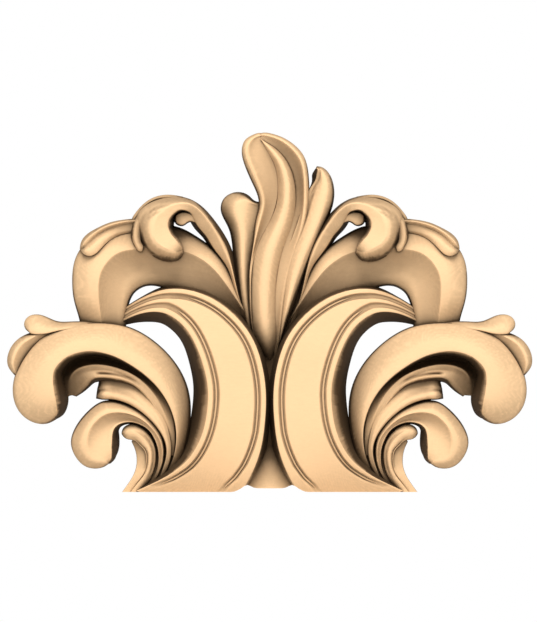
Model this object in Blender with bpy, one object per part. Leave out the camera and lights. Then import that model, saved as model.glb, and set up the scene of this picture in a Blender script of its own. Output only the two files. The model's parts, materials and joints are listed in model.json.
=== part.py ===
"""Acanthus crest applique: one carved piece of wood with a flat back.

The crest is drawn as a set of carved strands. Each strand is a few smooth lines, called rails,
with the height of the carving along each of them, and the shape that the wood takes between
two rails. The left half is mirrored, the tall leaf in the middle leans over, and all strands
are joined into one solid, which is cut flat behind and below.

Tables are in millimetres: how far from the centre line, and how far above the foot.
"""
import math

import bmesh
import bpy
import numpy as np

MM = 0.001
# The point of the flat back that the crest is placed by is this far above the foot.
MOUNT_HEIGHT = 60.0
# Walls lean out by this share of their height.
STEEP = 0.12
# The strands run on behind the back, each a little further than the last, and are cut there.
OVERRUN = 4.0
OVERRUN_STEP = 0.13
MIDDLE_OVERRUN = 10.0
# How far behind the back the leaning of a wall ends.
LEAN_END = 1.0
# How far a dished face dips below its own far edge.
DISH_DIP = 1.0
CUTTER_REACH = 200.0
CUTTER_FRONT = 60.0
CUTTER_BACK = 30.0
FOOT_DROP = 40.0
WELD = 0.0005
SHARP_ANGLE = math.radians(40.0)

WOOD_COLOR = (0.78, 0.55, 0.33, 1.0)
WOOD_ROUGHNESS = 0.55

# The C-shaped scroll: a broad band from under the upper scroll, round to the foot.
SCROLL = {
    "rails": (
        ((-91, 108), (-75, 117.5), (-64, 121.4), (-50, 121.5), (-35, 116.3), (-20.5, 105.5),
         (-10.5, 92.5), (-4.7, 77), (-2.2, 60), (-2.6, 43.5), (-6, 23), (-12.7, 7), (-21, -6),
         (-33, -20)),
        ((-91, 100.8), (-77.5, 106.9), (-69, 108), (-61, 106.3), (-53, 100.7), (-46.5, 92),
         (-42, 82), (-38.6, 70.5), (-37.1, 58), (-38.5, 43), (-43.5, 28), (-51, 17.5),
         (-62, 9.5), (-80, 0.8)),
    ),
    "heights": (
        (5, 14, 19, 22, 24, 25, 26, 26, 26, 26, 25, 21, 13, 4),
        (6, 16, 20, 22, 24, 25, 26, 26, 26, 26, 24, 20, 15, 7),
    ),
    "spans": (("flat", 3),),
    "walls": (
        (0.05, 0.05, 0.1, 0.14, 0.16, 0.16, 0.16, 0.16, 0.16, 0.16, 0.2, 0.25, 0.3, 0.3),
        (0.34, 0.34, 0.32, 0.3, 0.28, 0.27, 0.29, 0.32, 0.35, 0.36, 0.34, 0.3, 0.25, 0.2),
    ),
    "stations": 28,
}

# The upper scroll: a ridge with a full outer side and a hollow inner side.
UPPER_SCROLL = {
    "rails": (
        ((-113, 92), (-113.8, 102), (-116.9, 114), (-118.2, 126), (-116.3, 140), (-107, 152),
         (-90, 158), (-70, 160), (-55, 158.8), (-44, 153.2), (-33, 145), (-24, 132.5),
         (-16.5, 114), (-7, 97)),
        ((-101, 92), (-101.2, 101), (-102.5, 113), (-102.8, 126), (-99.5, 135.5), (-92, 143),
         (-80, 145.8), (-66, 146.5), (-53, 144.8), (-43, 141), (-34, 134.3), (-26, 124.5),
         (-15, 108), (-5.5, 93)),
        ((-92, 92), (-91.6, 101), (-90.6, 111.5), (-88, 121.5), (-83.4, 128), (-76.5, 131),
         (-68.5, 130.8), (-60.5, 128.4), (-52, 125), (-43.5, 121.3), (-34.5, 115.6), (-26, 108),
         (-14, 98), (-4.5, 88)),
        ((-87.5, 92), (-86.6, 101), (-85.6, 111), (-83, 118.2), (-79.5, 121.9), (-75, 124.1),
         (-69, 124.4), (-62, 122.3), (-54, 119), (-46, 116), (-37, 111), (-28, 104), (-14, 93),
         (-4, 84)),
    ),
    "heights": (
        (5, 8, 13, 14, 14, 14, 12, 11.5, 11, 11.5, 12, 11, 9, 4),
        (9, 13, 19, 22, 22, 21, 20.5, 20, 19, 18, 17, 15, 12, 6),
        (7, 9, 11, 12, 12, 11.5, 11, 10.5, 10, 9.5, 9, 8, 7, 4),
        (5, 6.5, 8, 8.5, 8.5, 8.5, 8, 7, 6, 5, 4, 3, 2, 1),
    ),
    "spans": (("swell", 2), ("hollow", 2), ("roll", 1)),
    "walls": (0.03, STEEP),
    "stations": 26,
}

# The turned edge that lies over the upper scroll.
TURNED_EDGE = {
    "rails": (
        ((-114, 146), (-113.2, 150), (-110.2, 154.2), (-104, 158.2), (-96, 161.7), (-88, 163.4),
         (-76, 164.2)),
        ((-113.9, 145.8), (-112.2, 148.2), (-109.4, 151.4), (-104.2, 155.8), (-97, 159.6),
         (-89, 161.8), (-76, 162.6)),
        ((-113.8, 145.6), (-111.4, 146.8), (-108.6, 149), (-104.3, 153.3), (-98, 157.3),
         (-90, 159.9), (-76, 160.9)),
        ((-113.75, 145.5), (-111.6, 144.8), (-108.3, 145), (-103.6, 148.4), (-98, 152.8),
         (-90.6, 156.2), (-76, 157.8)),
        ((-113.7, 145.4), (-112, 142.9), (-108, 141.5), (-103, 144.1), (-98, 149),
         (-91, 153.4), (-76, 155.2)),
    ),
    "heights": (
        (13, 14, 14, 14, 14, 14, 14),
        (14, 20, 22.5, 22.3, 21, 19.6, 18.4),
        (14, 19, 20.6, 20.2, 18.8, 17.6, 16.8),
        (14, 20.2, 22.6, 22.4, 20.4, 17.8, 16.8),
        (14, 18.8, 21, 21.2, 19.2, 16.2, 15.4),
    ),
    "spans": (("swell", 1), ("cove", 1), ("cove", 1), ("roll", 1)),
    "walls": (0.0, 0.0),
    "stations": 11,
}

# The rolled curl: a stem that rises beside the tall leaf and rolls over into a full hood.
CURL = {
    "rails": (
        ((-10, 99), (-17, 116), (-20.6, 133.8), (-22.6, 144.6), (-28, 155.4), (-34.6, 164.5),
         (-41.5, 171.6), (-49.5, 175.9), (-58, 177), (-67, 175.4), (-75, 171.4), (-79.9, 165.4),
         (-80.8, 157.4), (-79.2, 149.2), (-75.3, 142.8), (-68.5, 138.2), (-60.8, 136.5),
         (-54.6, 138.3), (-51.5, 143.2)),
        ((-11.6, 98.6), (-18.6, 116.4), (-22.9, 133.9), (-26.6, 143.9), (-31.4, 153.8),
         (-36.6, 162), (-42.2, 168.8), (-49.2, 172.8), (-57.4, 172), (-64, 168.6), (-68, 164.2),
         (-69.8, 159.4), (-70, 155.2), (-68.8, 151.6), (-66, 148.6), (-62.4, 146.5), (-59, 145),
         (-56, 144.4), (-53.4, 144.8)),
        ((-13.5, 98), (-21, 117.5), (-26.3, 135.6), (-33.6, 145.8), (-38.6, 153.8),
         (-43.6, 159.8), (-46.6, 165.6), (-48.8, 168.2), (-53, 169.3), (-57, 167.4),
         (-60.2, 163.4), (-60.8, 159.4), (-59.8, 156.4), (-58.4, 154), (-57, 152.4),
         (-55.6, 150.8), (-54.4, 149.2), (-53.3, 147.4), (-52.4, 145.7)),
    ),
    "heights": (
        (6, 6, 7, 8, 9.5, 11.5, 14, 16.5, 18, 19, 19, 17, 14, 11, 8, 6.5, 7, 11, 19),
        (8.7, 13.5, 16.5, 18.5, 20.5, 23, 25.5, 28, 30, 31.5, 32.5, 33, 33, 33, 33, 32.7, 31.5, 29,
         24.5),
        (7.5, 11, 13.5, 15.5, 17.5, 20, 22.5, 25.5, 28, 28.8, 29.5, 30, 30, 30, 30, 29.8, 29, 27.3,
         24),
    ),
    "spans": (("swell", 3), ("flat", 1)),
    "walls": (0.03, STEEP),
    "stations": 30,
}

# The fold of the hood's edge, at its lower left.
HOOD_FOLD = {
    "rails": (
        ((-78.6, 168), (-81.6, 162.6), (-83, 157), (-83, 151.5), (-81.2, 147), (-78.6, 144.1),
         (-77, 143.9)),
        ((-76, 166), (-79, 161.4), (-80.4, 156.6), (-80.3, 152), (-79.2, 148.2), (-77.5, 145.8),
         (-76.6, 144.9)),
        ((-72, 164), (-75.5, 160), (-77, 156), (-77.2, 152.4), (-76.6, 149.4), (-75.6, 147),
         (-75.9, 145.8)),
    ),
    "heights": (
        (15, 16.5, 17.5, 19, 20, 20.5, 20.5),
        (19, 21.5, 23.5, 24, 24, 23.5, 22.5),
        (17, 19, 20.5, 21, 21.5, 22, 22),
    ),
    "spans": (("swell", 1), ("roll", 1)),
    "walls": (0.03, 0.0),
    "stations": 9,
}

# The low rim that shows behind the hood.
CURL_RIM = {
    "rails": (
        ((-52, 177.2), (-60, 178.4), (-66, 177.9), (-71.5, 175.9), (-76.5, 172.2), (-80.2, 168),
         (-82.7, 164), (-83.3, 160.8)),
        ((-52, 175.6), (-60, 177), (-65.7, 176.6), (-70.8, 174.7), (-75.5, 171.2), (-79, 167.2),
         (-81.4, 163.4), (-82.2, 160.2)),
        ((-52, 174), (-60, 175), (-65, 174.8), (-69.7, 173), (-74, 169.7), (-77.2, 166),
         (-79.6, 162.4), (-80.8, 159.2)),
    ),
    "heights": (
        (13, 15.5, 15.5, 15, 15, 15, 15, 14.5),
        (16, 18, 17.5, 16.8, 16.6, 16.5, 16.5, 16),
        (16, 17.5, 14, 9, 8, 8, 8, 9),
    ),
    "spans": (("swell", 1), ("roll", 1)),
    "walls": (0.0, 0.0),
    "stations": 14,
}

# The inner band of the stem, which ends in a round knob under the hood.
KNOB_NECK = {
    "rails": (
        ((-37.6, 157), (-41.5, 161.8), (-45, 165.4), (-48, 167.2), (-51, 167.8), (-53.6, 167.6),
         (-55.6, 166.6), (-56.6, 165), (-56.9, 163.9)),
        ((-38.2, 154), (-41, 158), (-44.5, 161.2), (-47.6, 162.5), (-50.2, 161.4),
         (-52.2, 160.2), (-54.6, 160.4), (-56.4, 162), (-56.85, 163.2)),
    ),
    "heights": (
        (18, 20, 21.8, 22.8, 23.4, 23.8, 23.6, 22.6, 21),
        (16.5, 18, 20, 21.8, 23, 23.6, 23.4, 22.4, 21),
    ),
    "spans": (("flat", 1),),
    "walls": (0.0, 0.03),
    "stations": 14,
}

# The great leaf: it springs from beside the scroll and turns down into a full round lobe.
GREAT_LEAF = {
    "rails": (
        ((-61, 8), (-53, 20), (-49.5, 31), (-47.4, 46), (-48.8, 61), (-56, 76.5), (-68, 89.3),
         (-85, 99), (-108, 101.5), (-124, 99.4), (-137, 92.4), (-148, 79.6), (-153.8, 64),
         (-150.5, 49), (-140.5, 41.6), (-133, 41.4), (-128.8, 43.4)),
        ((-63.5, 9), (-58.2, 20), (-56.2, 30), (-57.4, 44), (-63.8, 58.2), (-76, 71.2), (-91, 80.4),
         (-103, 84), (-113, 83.9), (-121.5, 81), (-127.3, 76), (-129.9, 70), (-129.6, 62),
         (-128.4, 55.5), (-127.6, 50.5), (-127.6, 46.8), (-128.2, 44.6)),
    ),
    "heights": (
        (3, 5, 7, 8, 9, 11, 13, 15, 17, 17, 17, 17, 17, 16, 15, 14, 13),
        (3, 8, 13, 18, 21, 23, 24, 25, 26, 27, 27, 27, 27, 26, 23, 19, 14),
    ),
    "spans": (("swell", 4),),
    "walls": (
        0.02,
        (0.05, 0.05, 0.05, 0.06, 0.08, 0.1, 0.12, 0.14, 0.15, 0.16, 0.19, 0.24, 0.3, 0.31, 0.28, 0.2,
         0.1),
    ),
    "stations": 36,
}

# The lobe that shows outside the great leaf, and the small one above it.
SIDE_LOBE = {
    "rails": (
        ((-152.8, 69.8), (-157, 75.5), (-156.2, 85), (-151, 91.8), (-143.5, 95.6), (-132, 97.8),
         (-118, 100)),
        ((-152.2, 71), (-153.8, 76.5), (-151.8, 84), (-147.3, 89.6), (-140.5, 93.4),
         (-131, 96.6), (-118, 99)),
        ((-149, 72), (-147.5, 77), (-144.5, 82), (-140, 87), (-135, 90.5), (-129, 93.4),
         (-118, 96)),
    ),
    "heights": (
        (12, 12, 12, 12, 12, 13, 14),
        (15, 17, 17.5, 17.5, 17.5, 17.5, 17),
        (13, 13, 13, 13.5, 14, 15, 16),
    ),
    "spans": (("swell", 2), ("flat", 1)),
    "walls": (0.0, 0.0),
    "stations": 12,
}
TOP_LOBE = {
    "rails": (
        ((-92, 100.8), (-106, 102), (-118, 102.4), (-128, 102.7), (-134, 105.2), (-139.5, 106.6),
         (-145.2, 105), (-147.4, 101), (-146.4, 97.6), (-144.6, 96)),
        ((-92, 97), (-106, 97.5), (-118, 97.6), (-128, 96.4), (-134, 95), (-138.4, 94.6),
         (-141, 94.6), (-142.6, 94.8), (-143.4, 95), (-144, 95.4)),
    ),
    "heights": (
        (13, 14, 14, 13, 12, 12, 12, 12, 12, 12),
        (16, 18, 19, 19.5, 19.5, 19, 18, 17, 15.5, 13.5),
    ),
    "spans": (("swell", 2),),
    "walls": (0.0, 0.0),
    "stations": 14,
}

# The fringe leaf under the great leaf, in two lobes.
FRINGE_UPPER = {
    "rails": (
        ((-123.5, 56.5), (-126.5, 66), (-120, 78.5), (-107, 82), (-91.5, 79.5), (-78, 72.7),
         (-67, 62.3), (-59.4, 49.2), (-56.8, 36), (-57.2, 22)),
        ((-120.4, 58), (-120.2, 67), (-114.3, 74.3), (-104, 76.3), (-92, 74.3), (-80.5, 69.3),
         (-70.5, 60), (-63.6, 48), (-59.6, 36), (-59.8, 22)),
        ((-117.4, 58.6), (-113.6, 64.2), (-109.2, 68.6), (-103, 69.9), (-93, 69.4),
         (-82.5, 66.2), (-73.5, 58.6), (-65.8, 47), (-61.2, 36), (-61.4, 22)),
        ((-116, 57.2), (-111.6, 60.2), (-107.2, 64.6), (-103, 66.9), (-93, 66.2),
         (-83, 63.2), (-74.5, 56), (-67, 45.5), (-62.2, 35.5), (-62.2, 22)),
    ),
    "heights": (
        (0.5, 1, 2.5, 4.5, 7.5, 11.5, 14, 14, 12, 7.5),
        (1.5, 7, 15, 18, 19, 19, 18, 16, 12.5, 8),
        (2.5, 8.5, 14.5, 17.5, 18, 17.5, 16.5, 14.5, 12, 7.5),
        (1.5, 3, 7, 10, 11, 11.5, 12.5, 12.5, 10.5, 6),
    ),
    "spans": (("roll", 1), ("flat", 1), ("roll", 1)),
    "walls": (0.0, 0.1),
    "stations": 16,
}
FRINGE_LOWER = {
    "rails": (
        ((-102.2, 67.5), (-100.4, 68.8), (-93, 69), (-82, 66), (-73, 58.5), (-64.8, 47.5),
         (-60.2, 35), (-59.4, 21), (-64, 8)),
        ((-103.5, 62), (-100.8, 62.3), (-93.5, 62), (-83.6, 58.8), (-75, 52), (-66.9, 42.8),
         (-62, 32.4), (-61.2, 20.6), (-65.4, 8)),
        ((-104, 58.4), (-101.2, 58.6), (-94.5, 58), (-84.6, 55.2), (-75.8, 49.6), (-68, 41.4),
         (-62.7, 32), (-61.8, 20.4), (-66, 8)),
        ((-104.2, 56.2), (-101.4, 55.8), (-95, 55.6), (-85, 52.8), (-76.4, 47.4), (-69, 40.2),
         (-63.5, 31.5), (-62.5, 20.8), (-66.8, 8)),
    ),
    "heights": (
        (4, 8, 10, 12, 14, 14.5, 13, 10, 3),
        (6, 11.5, 13, 14.5, 16, 15.5, 14, 10, 4),
        (7, 13, 15, 16, 16.5, 16, 14, 10, 4),
        (6, 11, 13.5, 14.5, 15, 14.5, 13, 9, 3),
    ),
    "spans": (("cove", 1), ("cove", 1), ("roll", 1)),
    "walls": (0.0, 0.03),
    "stations": 16,
}

# The low web that ties the roots of the fringe, the small leaf and the tendril together.
ROOT_WEB = {
    "rails": (
        ((-57, 6), (-55.5, 20), (-56, 32), (-60.5, 43), (-67.5, 52.5), (-77, 60), (-88, 63),
         (-99, 63)),
        ((-83.5, 2), (-74.5, 14), (-72.6, 22), (-73.6, 29), (-77, 35), (-81.5, 39), (-87, 46),
         (-99, 57)),
    ),
    "heights": (
        (4, 4, 4, 4, 4, 4, 4, 4),
        (4, 4, 4, 4, 4, 4, 4, 4),
    ),
    "spans": (("flat", 1),),
    "walls": (0.0, 0.0),
    "stations": 8,
}

# The small leaf below it, which turns down into a lobe with a raised rim.
SMALL_LEAF = {
    "rails": (
        ((-70, 4), (-64, 16), (-62.8, 26), (-64.8, 36), (-70.5, 44.5), (-79.5, 50.8), (-89.5, 54),
         (-98.8, 54.6), (-109, 48.2), (-116.3, 38.8), (-119, 30), (-116.5, 21.7), (-110, 15.4),
         (-103, 14.4), (-99.2, 15.5), (-97, 17)),
        ((-70.8, 4.6), (-65.4, 16), (-64.6, 25.8), (-67.2, 33.7), (-72.6, 40.2), (-80, 45.3),
         (-89, 47.8), (-97, 47.2), (-104, 42.8), (-108.6, 36), (-110, 29), (-108.5, 22.5),
         (-104.2, 19), (-99.9, 18.6), (-97.8, 18), (-96.9, 17.3)),
        ((-71.6, 5), (-67.2, 15), (-66.7, 23.5), (-68.4, 30.3), (-72, 36.5), (-77.5, 40.4),
         (-83.4, 42), (-88.4, 41.4), (-92.3, 39.2), (-94.2, 35.5), (-94.6, 31), (-94.8, 27.4),
         (-94.7, 24.6), (-94.8, 22), (-95.3, 19.6), (-96.7, 17.6)),
    ),
    "heights": (
        (2, 5, 7, 8, 9, 9.5, 10, 10.5, 11, 11, 11, 11, 11, 11, 11, 11),
        (4, 8, 11, 13, 14, 15.5, 17, 17.5, 18, 18.2, 17.8, 17, 16, 15, 13.8, 12),
        (3, 7, 9.5, 11.5, 12.5, 13, 13.5, 14, 14.5, 15, 15.4, 15.5, 15.2, 14.4, 13.3, 11.8),
    ),
    "spans": (("swell", 2), ("dish", 2)),
    "walls": (
        0.03,
        (0.1, 0.1, 0.1, 0.1, 0.1, 0.1, 0.1, 0.12, 0.2, 0.28, 0.31, 0.31, 0.27, 0.21, 0.15, 0.1),
    ),
    "stations": 32,
}

# Two slivers inside the small leaf.
TENDRIL = {
    "rails": (
        ((-79, -4), (-73, 5), (-69.6, 12), (-68.1, 20), (-68.8, 27.5), (-72, 34.3), (-77, 38.9),
         (-82.4, 40.9), (-86.3, 39.8), (-88.4, 37.5), (-88.9, 35.5)),
        ((-83, -4), (-77.3, 4.8), (-72.8, 12), (-71.2, 19.6), (-71.8, 25.8), (-74.8, 31),
         (-79, 34.6), (-83.4, 36.2), (-86.5, 36.2), (-88.2, 35.7), (-88.9, 35.2)),
        ((-87.5, -4), (-81.5, 4), (-76, 11.5), (-74.3, 19), (-75, 24.4), (-77.6, 27.6),
         (-80.6, 30.4), (-83.6, 31.3), (-86.2, 32), (-88.1, 33.6), (-88.85, 34.9)),
    ),
    "heights": (
        (3, 4, 6, 7, 8, 8.5, 9, 9, 9, 8.5, 8),
        (5, 7, 9, 11, 12, 12.5, 13, 12.5, 11.5, 10, 9),
        (4, 6, 8, 9.5, 10.5, 10.5, 10, 10, 9.5, 8.5, 8),
    ),
    "spans": (("swell", 2), ("roll", 1)),
    "walls": (0.0, 0.0),
    "stations": 15,
}
SLIVER = {
    "rails": (
        ((-85, -4), (-79.6, 5), (-74.8, 12), (-72.8, 18.5), (-73.4, 24), (-77, 29.2),
         (-82.4, 31.2)),
        ((-91.5, -4), (-85, 5), (-81.7, 10.5), (-80, 16), (-79.9, 21), (-81, 26),
         (-82.9, 30.2)),
    ),
    "heights": (
        (4, 6, 8, 8.5, 9, 8.5, 8.5),
        (4, 5.5, 6.5, 6.5, 6.5, 6.5, 6.5),
    ),
    "spans": (("flat", 1),),
    "walls": (0.0, 0.0),
    "stations": 9,
}

# The tall leaf in the middle leans to the left. Its midrib ends in a point between the scrolls.
TALL_LEFT = {
    "rails": (
        ((-4, 78), (-10.8, 97), (-12.9, 115), (-12.6, 133), (-10.4, 150), (-8.4, 164), (-6.7, 175),
         (-10.8, 186), (-15.2, 196.5), (-16.8, 204.5), (-14.8, 211.2), (-10.2, 214.3),
         (-5.8, 215.5), (-2, 214.2)),
        ((-3.4, 78), (-10.3, 97), (-12, 115), (-11.7, 133), (-8.8, 150), (-5.4, 164), (-3.6, 175),
         (-7, 186), (-11.4, 196.5), (-13.4, 203.6), (-12.1, 209.4), (-9, 212.6),
         (-5.4, 213.8), (-2.2, 213.2)),
        ((-2.8, 78), (-9.8, 97), (-11, 115), (-10.6, 133), (-6, 150), (0.9, 164), (4.4, 176),
         (4.9, 187), (2.6, 197.5), (-1.4, 205), (-3.8, 209.4), (-4.6, 211.4), (-4.2, 212.2),
         (-2.4, 212.6)),
    ),
    "heights": (
        (8, 10.5, 11, 12, 13.5, 13.5, 12.5, 12.5, 13, 14, 14, 13, 12, 10),
        (9, 13.5, 14.8, 15.8, 17, 17.4, 17.4, 18, 18, 17.6, 16.8, 15.6, 13.8, 11),
        (9, 14, 16, 16.2, 15.4, 15, 14.8, 14.8, 14.8, 14.8, 14.6, 14.2, 12.9, 10),
    ),
    "spans": (("swell", 1), ("dish", 3)),
    "walls": (0.0, 0.0),
    "stations": 21,
}
TALL_RIGHT = {
    "rails": (
        ((2.4, 78), (3.4, 97), (3.3, 115), (5, 133), (9.2, 150), (13.8, 164), (15.2, 177),
         (14, 188), (9.8, 197.6), (3.8, 204.6), (-1.4, 208.4), (-5, 210.8), (-7.6, 211.6),
         (-9.4, 211.4)),
        ((3.4, 78), (5.6, 97), (7.4, 115), (10.8, 133), (16, 150), (19.6, 164), (20.8, 177),
         (20.6, 188.5), (18.2, 199.4), (12.8, 206.4), (6.6, 211), (0.2, 213.4), (-5.2, 213.9),
         (-9.4, 212)),
        ((4.2, 78), (7.4, 97), (10.5, 115), (14.5, 133), (19.6, 150), (22.6, 164), (23.8, 177),
         (23.4, 190), (20.6, 201.4), (14.8, 208.3), (8, 212.7), (1.4, 215), (-4.8, 215.5),
         (-9.2, 213.2)),
    ),
    "heights": (
        (9, 14, 16, 16.4, 15.8, 15.2, 14.6, 14.2, 14.2, 14.3, 14.4, 14.2, 12.9, 10),
        (10, 15, 17, 17.3, 17.5, 17.7, 17.9, 18, 17.7, 17.3, 16.6, 15.6, 13.8, 11),
        (7, 12, 14, 15, 15.8, 15.6, 15, 14.4, 14, 14, 14, 13, 12, 10),
    ),
    "spans": (("rise", 3), ("roll", 1)),
    "walls": (0.0, 0.0),
    "stations": 21,
}
MIDRIB = {
    "rails": (
        ((-1.6, 79.4), (-9.4, 93), (-11, 105), (-11.3, 120), (-10.4, 135), (-6.6, 149.5),
         (-0.6, 161.5), (3.8, 173), (4.6, 185), (2.6, 196), (-2.2, 205.2), (-5.6, 211.4)),
        ((0, 80), (-2.4, 93), (-3.2, 105), (-3.2, 120), (-1.6, 135), (2.2, 150), (7, 162),
         (10, 174), (10.2, 186), (6.9, 197.2), (0.4, 206), (-5.5, 211.7)),
        ((1.6, 79.4), (4.6, 92.6), (4.2, 105), (4.2, 120), (6, 135), (10, 150), (14, 162),
         (15.9, 175), (15, 187), (11, 198), (3.2, 206.8), (-5.3, 212)),
    ),
    "heights": (
        (7, 12, 14, 15, 15, 15, 14.6, 14.2, 14.2, 14.2, 14, 13.5),
        (9, 18, 20.5, 21.5, 22, 22, 21.5, 21.5, 21, 20, 17.5, 15),
        (7, 12, 14, 15, 15, 15, 14.6, 14.2, 14.2, 14.2, 14, 13.5),
    ),
    "spans": (("swell", 2), ("roll", 2)),
    "walls": (0.0, 0.0),
    "stations": 19,
}
LEFT_LOBE = {
    "rails": (
        ((-15, 98), (-18.2, 112), (-20.4, 128), (-22, 144), (-24.8, 159), (-29.2, 169.5),
         (-28, 175), (-23.2, 179), (-17.6, 179.7), (-12.6, 177.6), (-9.2, 174.5), (-5.6, 173.6)),
        ((-12, 96), (-14, 112), (-15.6, 128), (-16.2, 144), (-17, 159), (-19, 167.6),
         (-19, 171.4), (-17.2, 173.8), (-14.8, 174.8), (-11.8, 174), (-9, 173), (-5.5, 172.4)),
        ((-9.6, 96), (-11, 112), (-11, 128), (-9.8, 144), (-8.2, 156), (-7.2, 163),
         (-6.8, 166), (-6.6, 168), (-6.4, 169.4), (-6.2, 170.4), (-5.9, 171), (-5.4, 171.4)),
    ),
    "heights": (
        (5, 6, 6.5, 6.5, 6, 5.5, 5.5, 5.5, 6, 7, 8.5, 9),
        (11.5, 14.3, 15.2, 15.6, 15.6, 15.4, 15, 14.5, 14, 13.4, 12.4, 10.6),
        (10, 10.5, 10.7, 11.5, 12, 12, 11.8, 11.6, 11.4, 11.2, 11, 10.4),
    ),
    "spans": (("swell", 2), ("cove", 2)),
    "walls": (0.05, 0.0),
    "stations": 16,
}
RIGHT_LOBE = {
    "rails": (
        ((3.2, 88), (4.6, 106), (6, 124), (9.6, 142), (14.6, 156), (18.4, 167.6), (21.4, 177),
         (25.2, 183.8), (27.6, 188), (28.1, 191.4), (28, 193.6)),
        ((6, 90), (9.8, 107), (14.2, 125), (20, 142), (26, 156.6), (30.4, 168.4), (33, 178.2),
         (33.4, 185), (31.9, 190.2), (30.1, 193), (28.2, 194.1)),
        ((9, 96), (13.4, 109), (18.4, 125), (24.6, 142.4), (31, 157.4), (35.9, 168.6),
         (37.9, 178), (36.9, 186.4), (33.6, 192.4), (30.4, 194.5), (28.2, 194.8)),
    ),
    "heights": (
        (9, 12.5, 14.5, 15.4, 15.9, 15.8, 15.3, 14.6, 14, 13.5, 12),
        (12, 18, 19.5, 20.3, 20.6, 20.4, 19.8, 18.8, 17.4, 15.8, 13.5),
        (6, 10.5, 13.5, 15.5, 16.5, 16.5, 16.2, 15.6, 14.6, 13.6, 12.4),
    ),
    "spans": (("cove", 2), ("roll", 2)),
    "walls": ((0.0, 0.0, 0.0, 0.0, 0.0, 0.0, 0.0, 0.05, 0.18, 0.18, 0.08), 0.06),
    "stations": 16,
}

# The low leaf between the scrolls' feet.
FOOT_LEAF = {
    "rails": (
        ((-1, 30), (-9.5, 20), (-17, 9), (-23, -4)),
        ((0, 30), (0, 20), (0, 9), (0, -4)),
        ((1, 30), (9.5, 20), (17, 9), (23, -4)),
    ),
    "heights": (
        (4, 9, 12, 12),
        (6, 12, 15, 15),
        (4, 9, 12, 12),
    ),
    "spans": (("swell", 2), ("roll", 2)),
    "walls": (0.0, 0.0),
    "stations": 6,
}

# The low floor of the crease between the two scrolls.
CREASE = {
    "rails": (
        ((-23, 134), (-15, 108), (-7, 82), (-5, 60), (-6, 40), (-9, 20)),
        ((23, 134), (15, 108), (7, 82), (5, 60), (6, 40), (9, 20)),
    ),
    "heights": (
        (6, 7, 8, 8, 8, 7),
        (6, 7, 8, 8, 8, 7),
    ),
    "spans": (("flat", 1),),
    "walls": (0.0, 0.0),
    "stations": 8,
}

# The foot is cut flat, and rises in a shallow wave under the low leaf.
WAVE_HALF_WIDTH = 23.0
WAVE_SHOULDER = 8.0
WAVE_RISE = 2.2
WAVE_PEAK_PLACE = 13.4
WAVE_PEAK_RISE = 2.0
WAVE_PEAK_WIDTH = 3.0
WAVE_STEPS = 24

SIDE_STRANDS = (
    SCROLL, UPPER_SCROLL, TURNED_EDGE, CURL, HOOD_FOLD, CURL_RIM, KNOB_NECK, GREAT_LEAF, SIDE_LOBE,
    TOP_LOBE, FRINGE_UPPER, FRINGE_LOWER, SMALL_LEAF, TENDRIL, SLIVER, ROOT_WEB,
)
MIDDLE_STRANDS = (TALL_LEFT, TALL_RIGHT, MIDRIB, LEFT_LOBE, RIGHT_LOBE, FOOT_LEAF, CREASE)


def natural_spline(values, knots, places):
    """Smooth curve through values at the knots, read at the given places."""
    count = len(knots)
    steps = np.diff(knots)
    slopes = np.diff(values, axis=0) / steps[:, None]
    system = np.zeros((count, count))
    target = np.zeros_like(values)
    system[0, 0] = 1.0
    system[-1, -1] = 1.0
    for i in range(1, count - 1):
        system[i, i - 1] = steps[i - 1]
        system[i, i] = 2.0 * (steps[i - 1] + steps[i])
        system[i, i + 1] = steps[i]
        target[i] = 6.0 * (slopes[i] - slopes[i - 1])
    curvature = np.linalg.solve(system, target)
    spans = np.clip(np.searchsorted(knots, places, side="right") - 1, 0, count - 2)
    width = steps[spans][:, None]
    a = (knots[spans + 1] - places)[:, None] / width
    b = 1.0 - a
    bend = ((a ** 3 - a) * curvature[spans] + (b ** 3 - b) * curvature[spans + 1]) * width ** 2 / 6.0
    return a * values[spans] + b * values[spans + 1] + bend


def sampled_rails(strand):
    """Every rail at evenly spread stations, as (rail, station, (x, z, height, lean))."""
    plan = np.array(strand["rails"], dtype=float)
    heights = np.array(strand["heights"], dtype=float)[:, :, None]
    leans = np.zeros_like(heights)
    leans[0, :, 0] = strand["walls"][0]
    leans[-1, :, 0] = strand["walls"][1]
    table = np.concatenate((plan, heights, leans), axis=2)
    chords = np.linalg.norm(np.diff(plan, axis=1), axis=2).max(axis=0)
    knots = np.concatenate(([0.0], np.cumsum(chords)))
    places = np.linspace(0.0, knots[-1], strand["stations"])
    return np.array([natural_spline(rail, knots, places) for rail in table])


def carve_share(shape, share):
    """How far the height has gone from one rail to the next, at a share of the way."""
    if shape == "swell":
        return math.sin(share * math.pi / 2.0)
    if shape == "roll":
        return 1.0 - math.cos(share * math.pi / 2.0)
    if shape == "hollow":
        return 1.0 - (1.0 - share) ** 2
    if shape == "cove":
        return share * share * (3.0 - 2.0 * share)
    if shape == "dish":
        return (1.0 + DISH_DIP) * (1.0 - (1.0 - share) ** 2) - DISH_DIP * share ** 2
    if shape == "rise":
        return 1.0 - carve_share("dish", 1.0 - share)
    return share


def surface_points(strand):
    """The carved surface as (across, station, (x, z, height, lean))."""
    rails = sampled_rails(strand)
    rows = [rails[0]]
    for index, (shape, steps) in enumerate(strand["spans"]):
        first = rails[index]
        second = rails[index + 1]
        for step in range(1, steps + 1):
            share = step / steps
            row = first + (second - first) * share
            row[:, 2] = first[:, 2] + (second[:, 2] - first[:, 2]) * carve_share(shape, share)
            rows.append(row)
    return np.array(rows)


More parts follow.
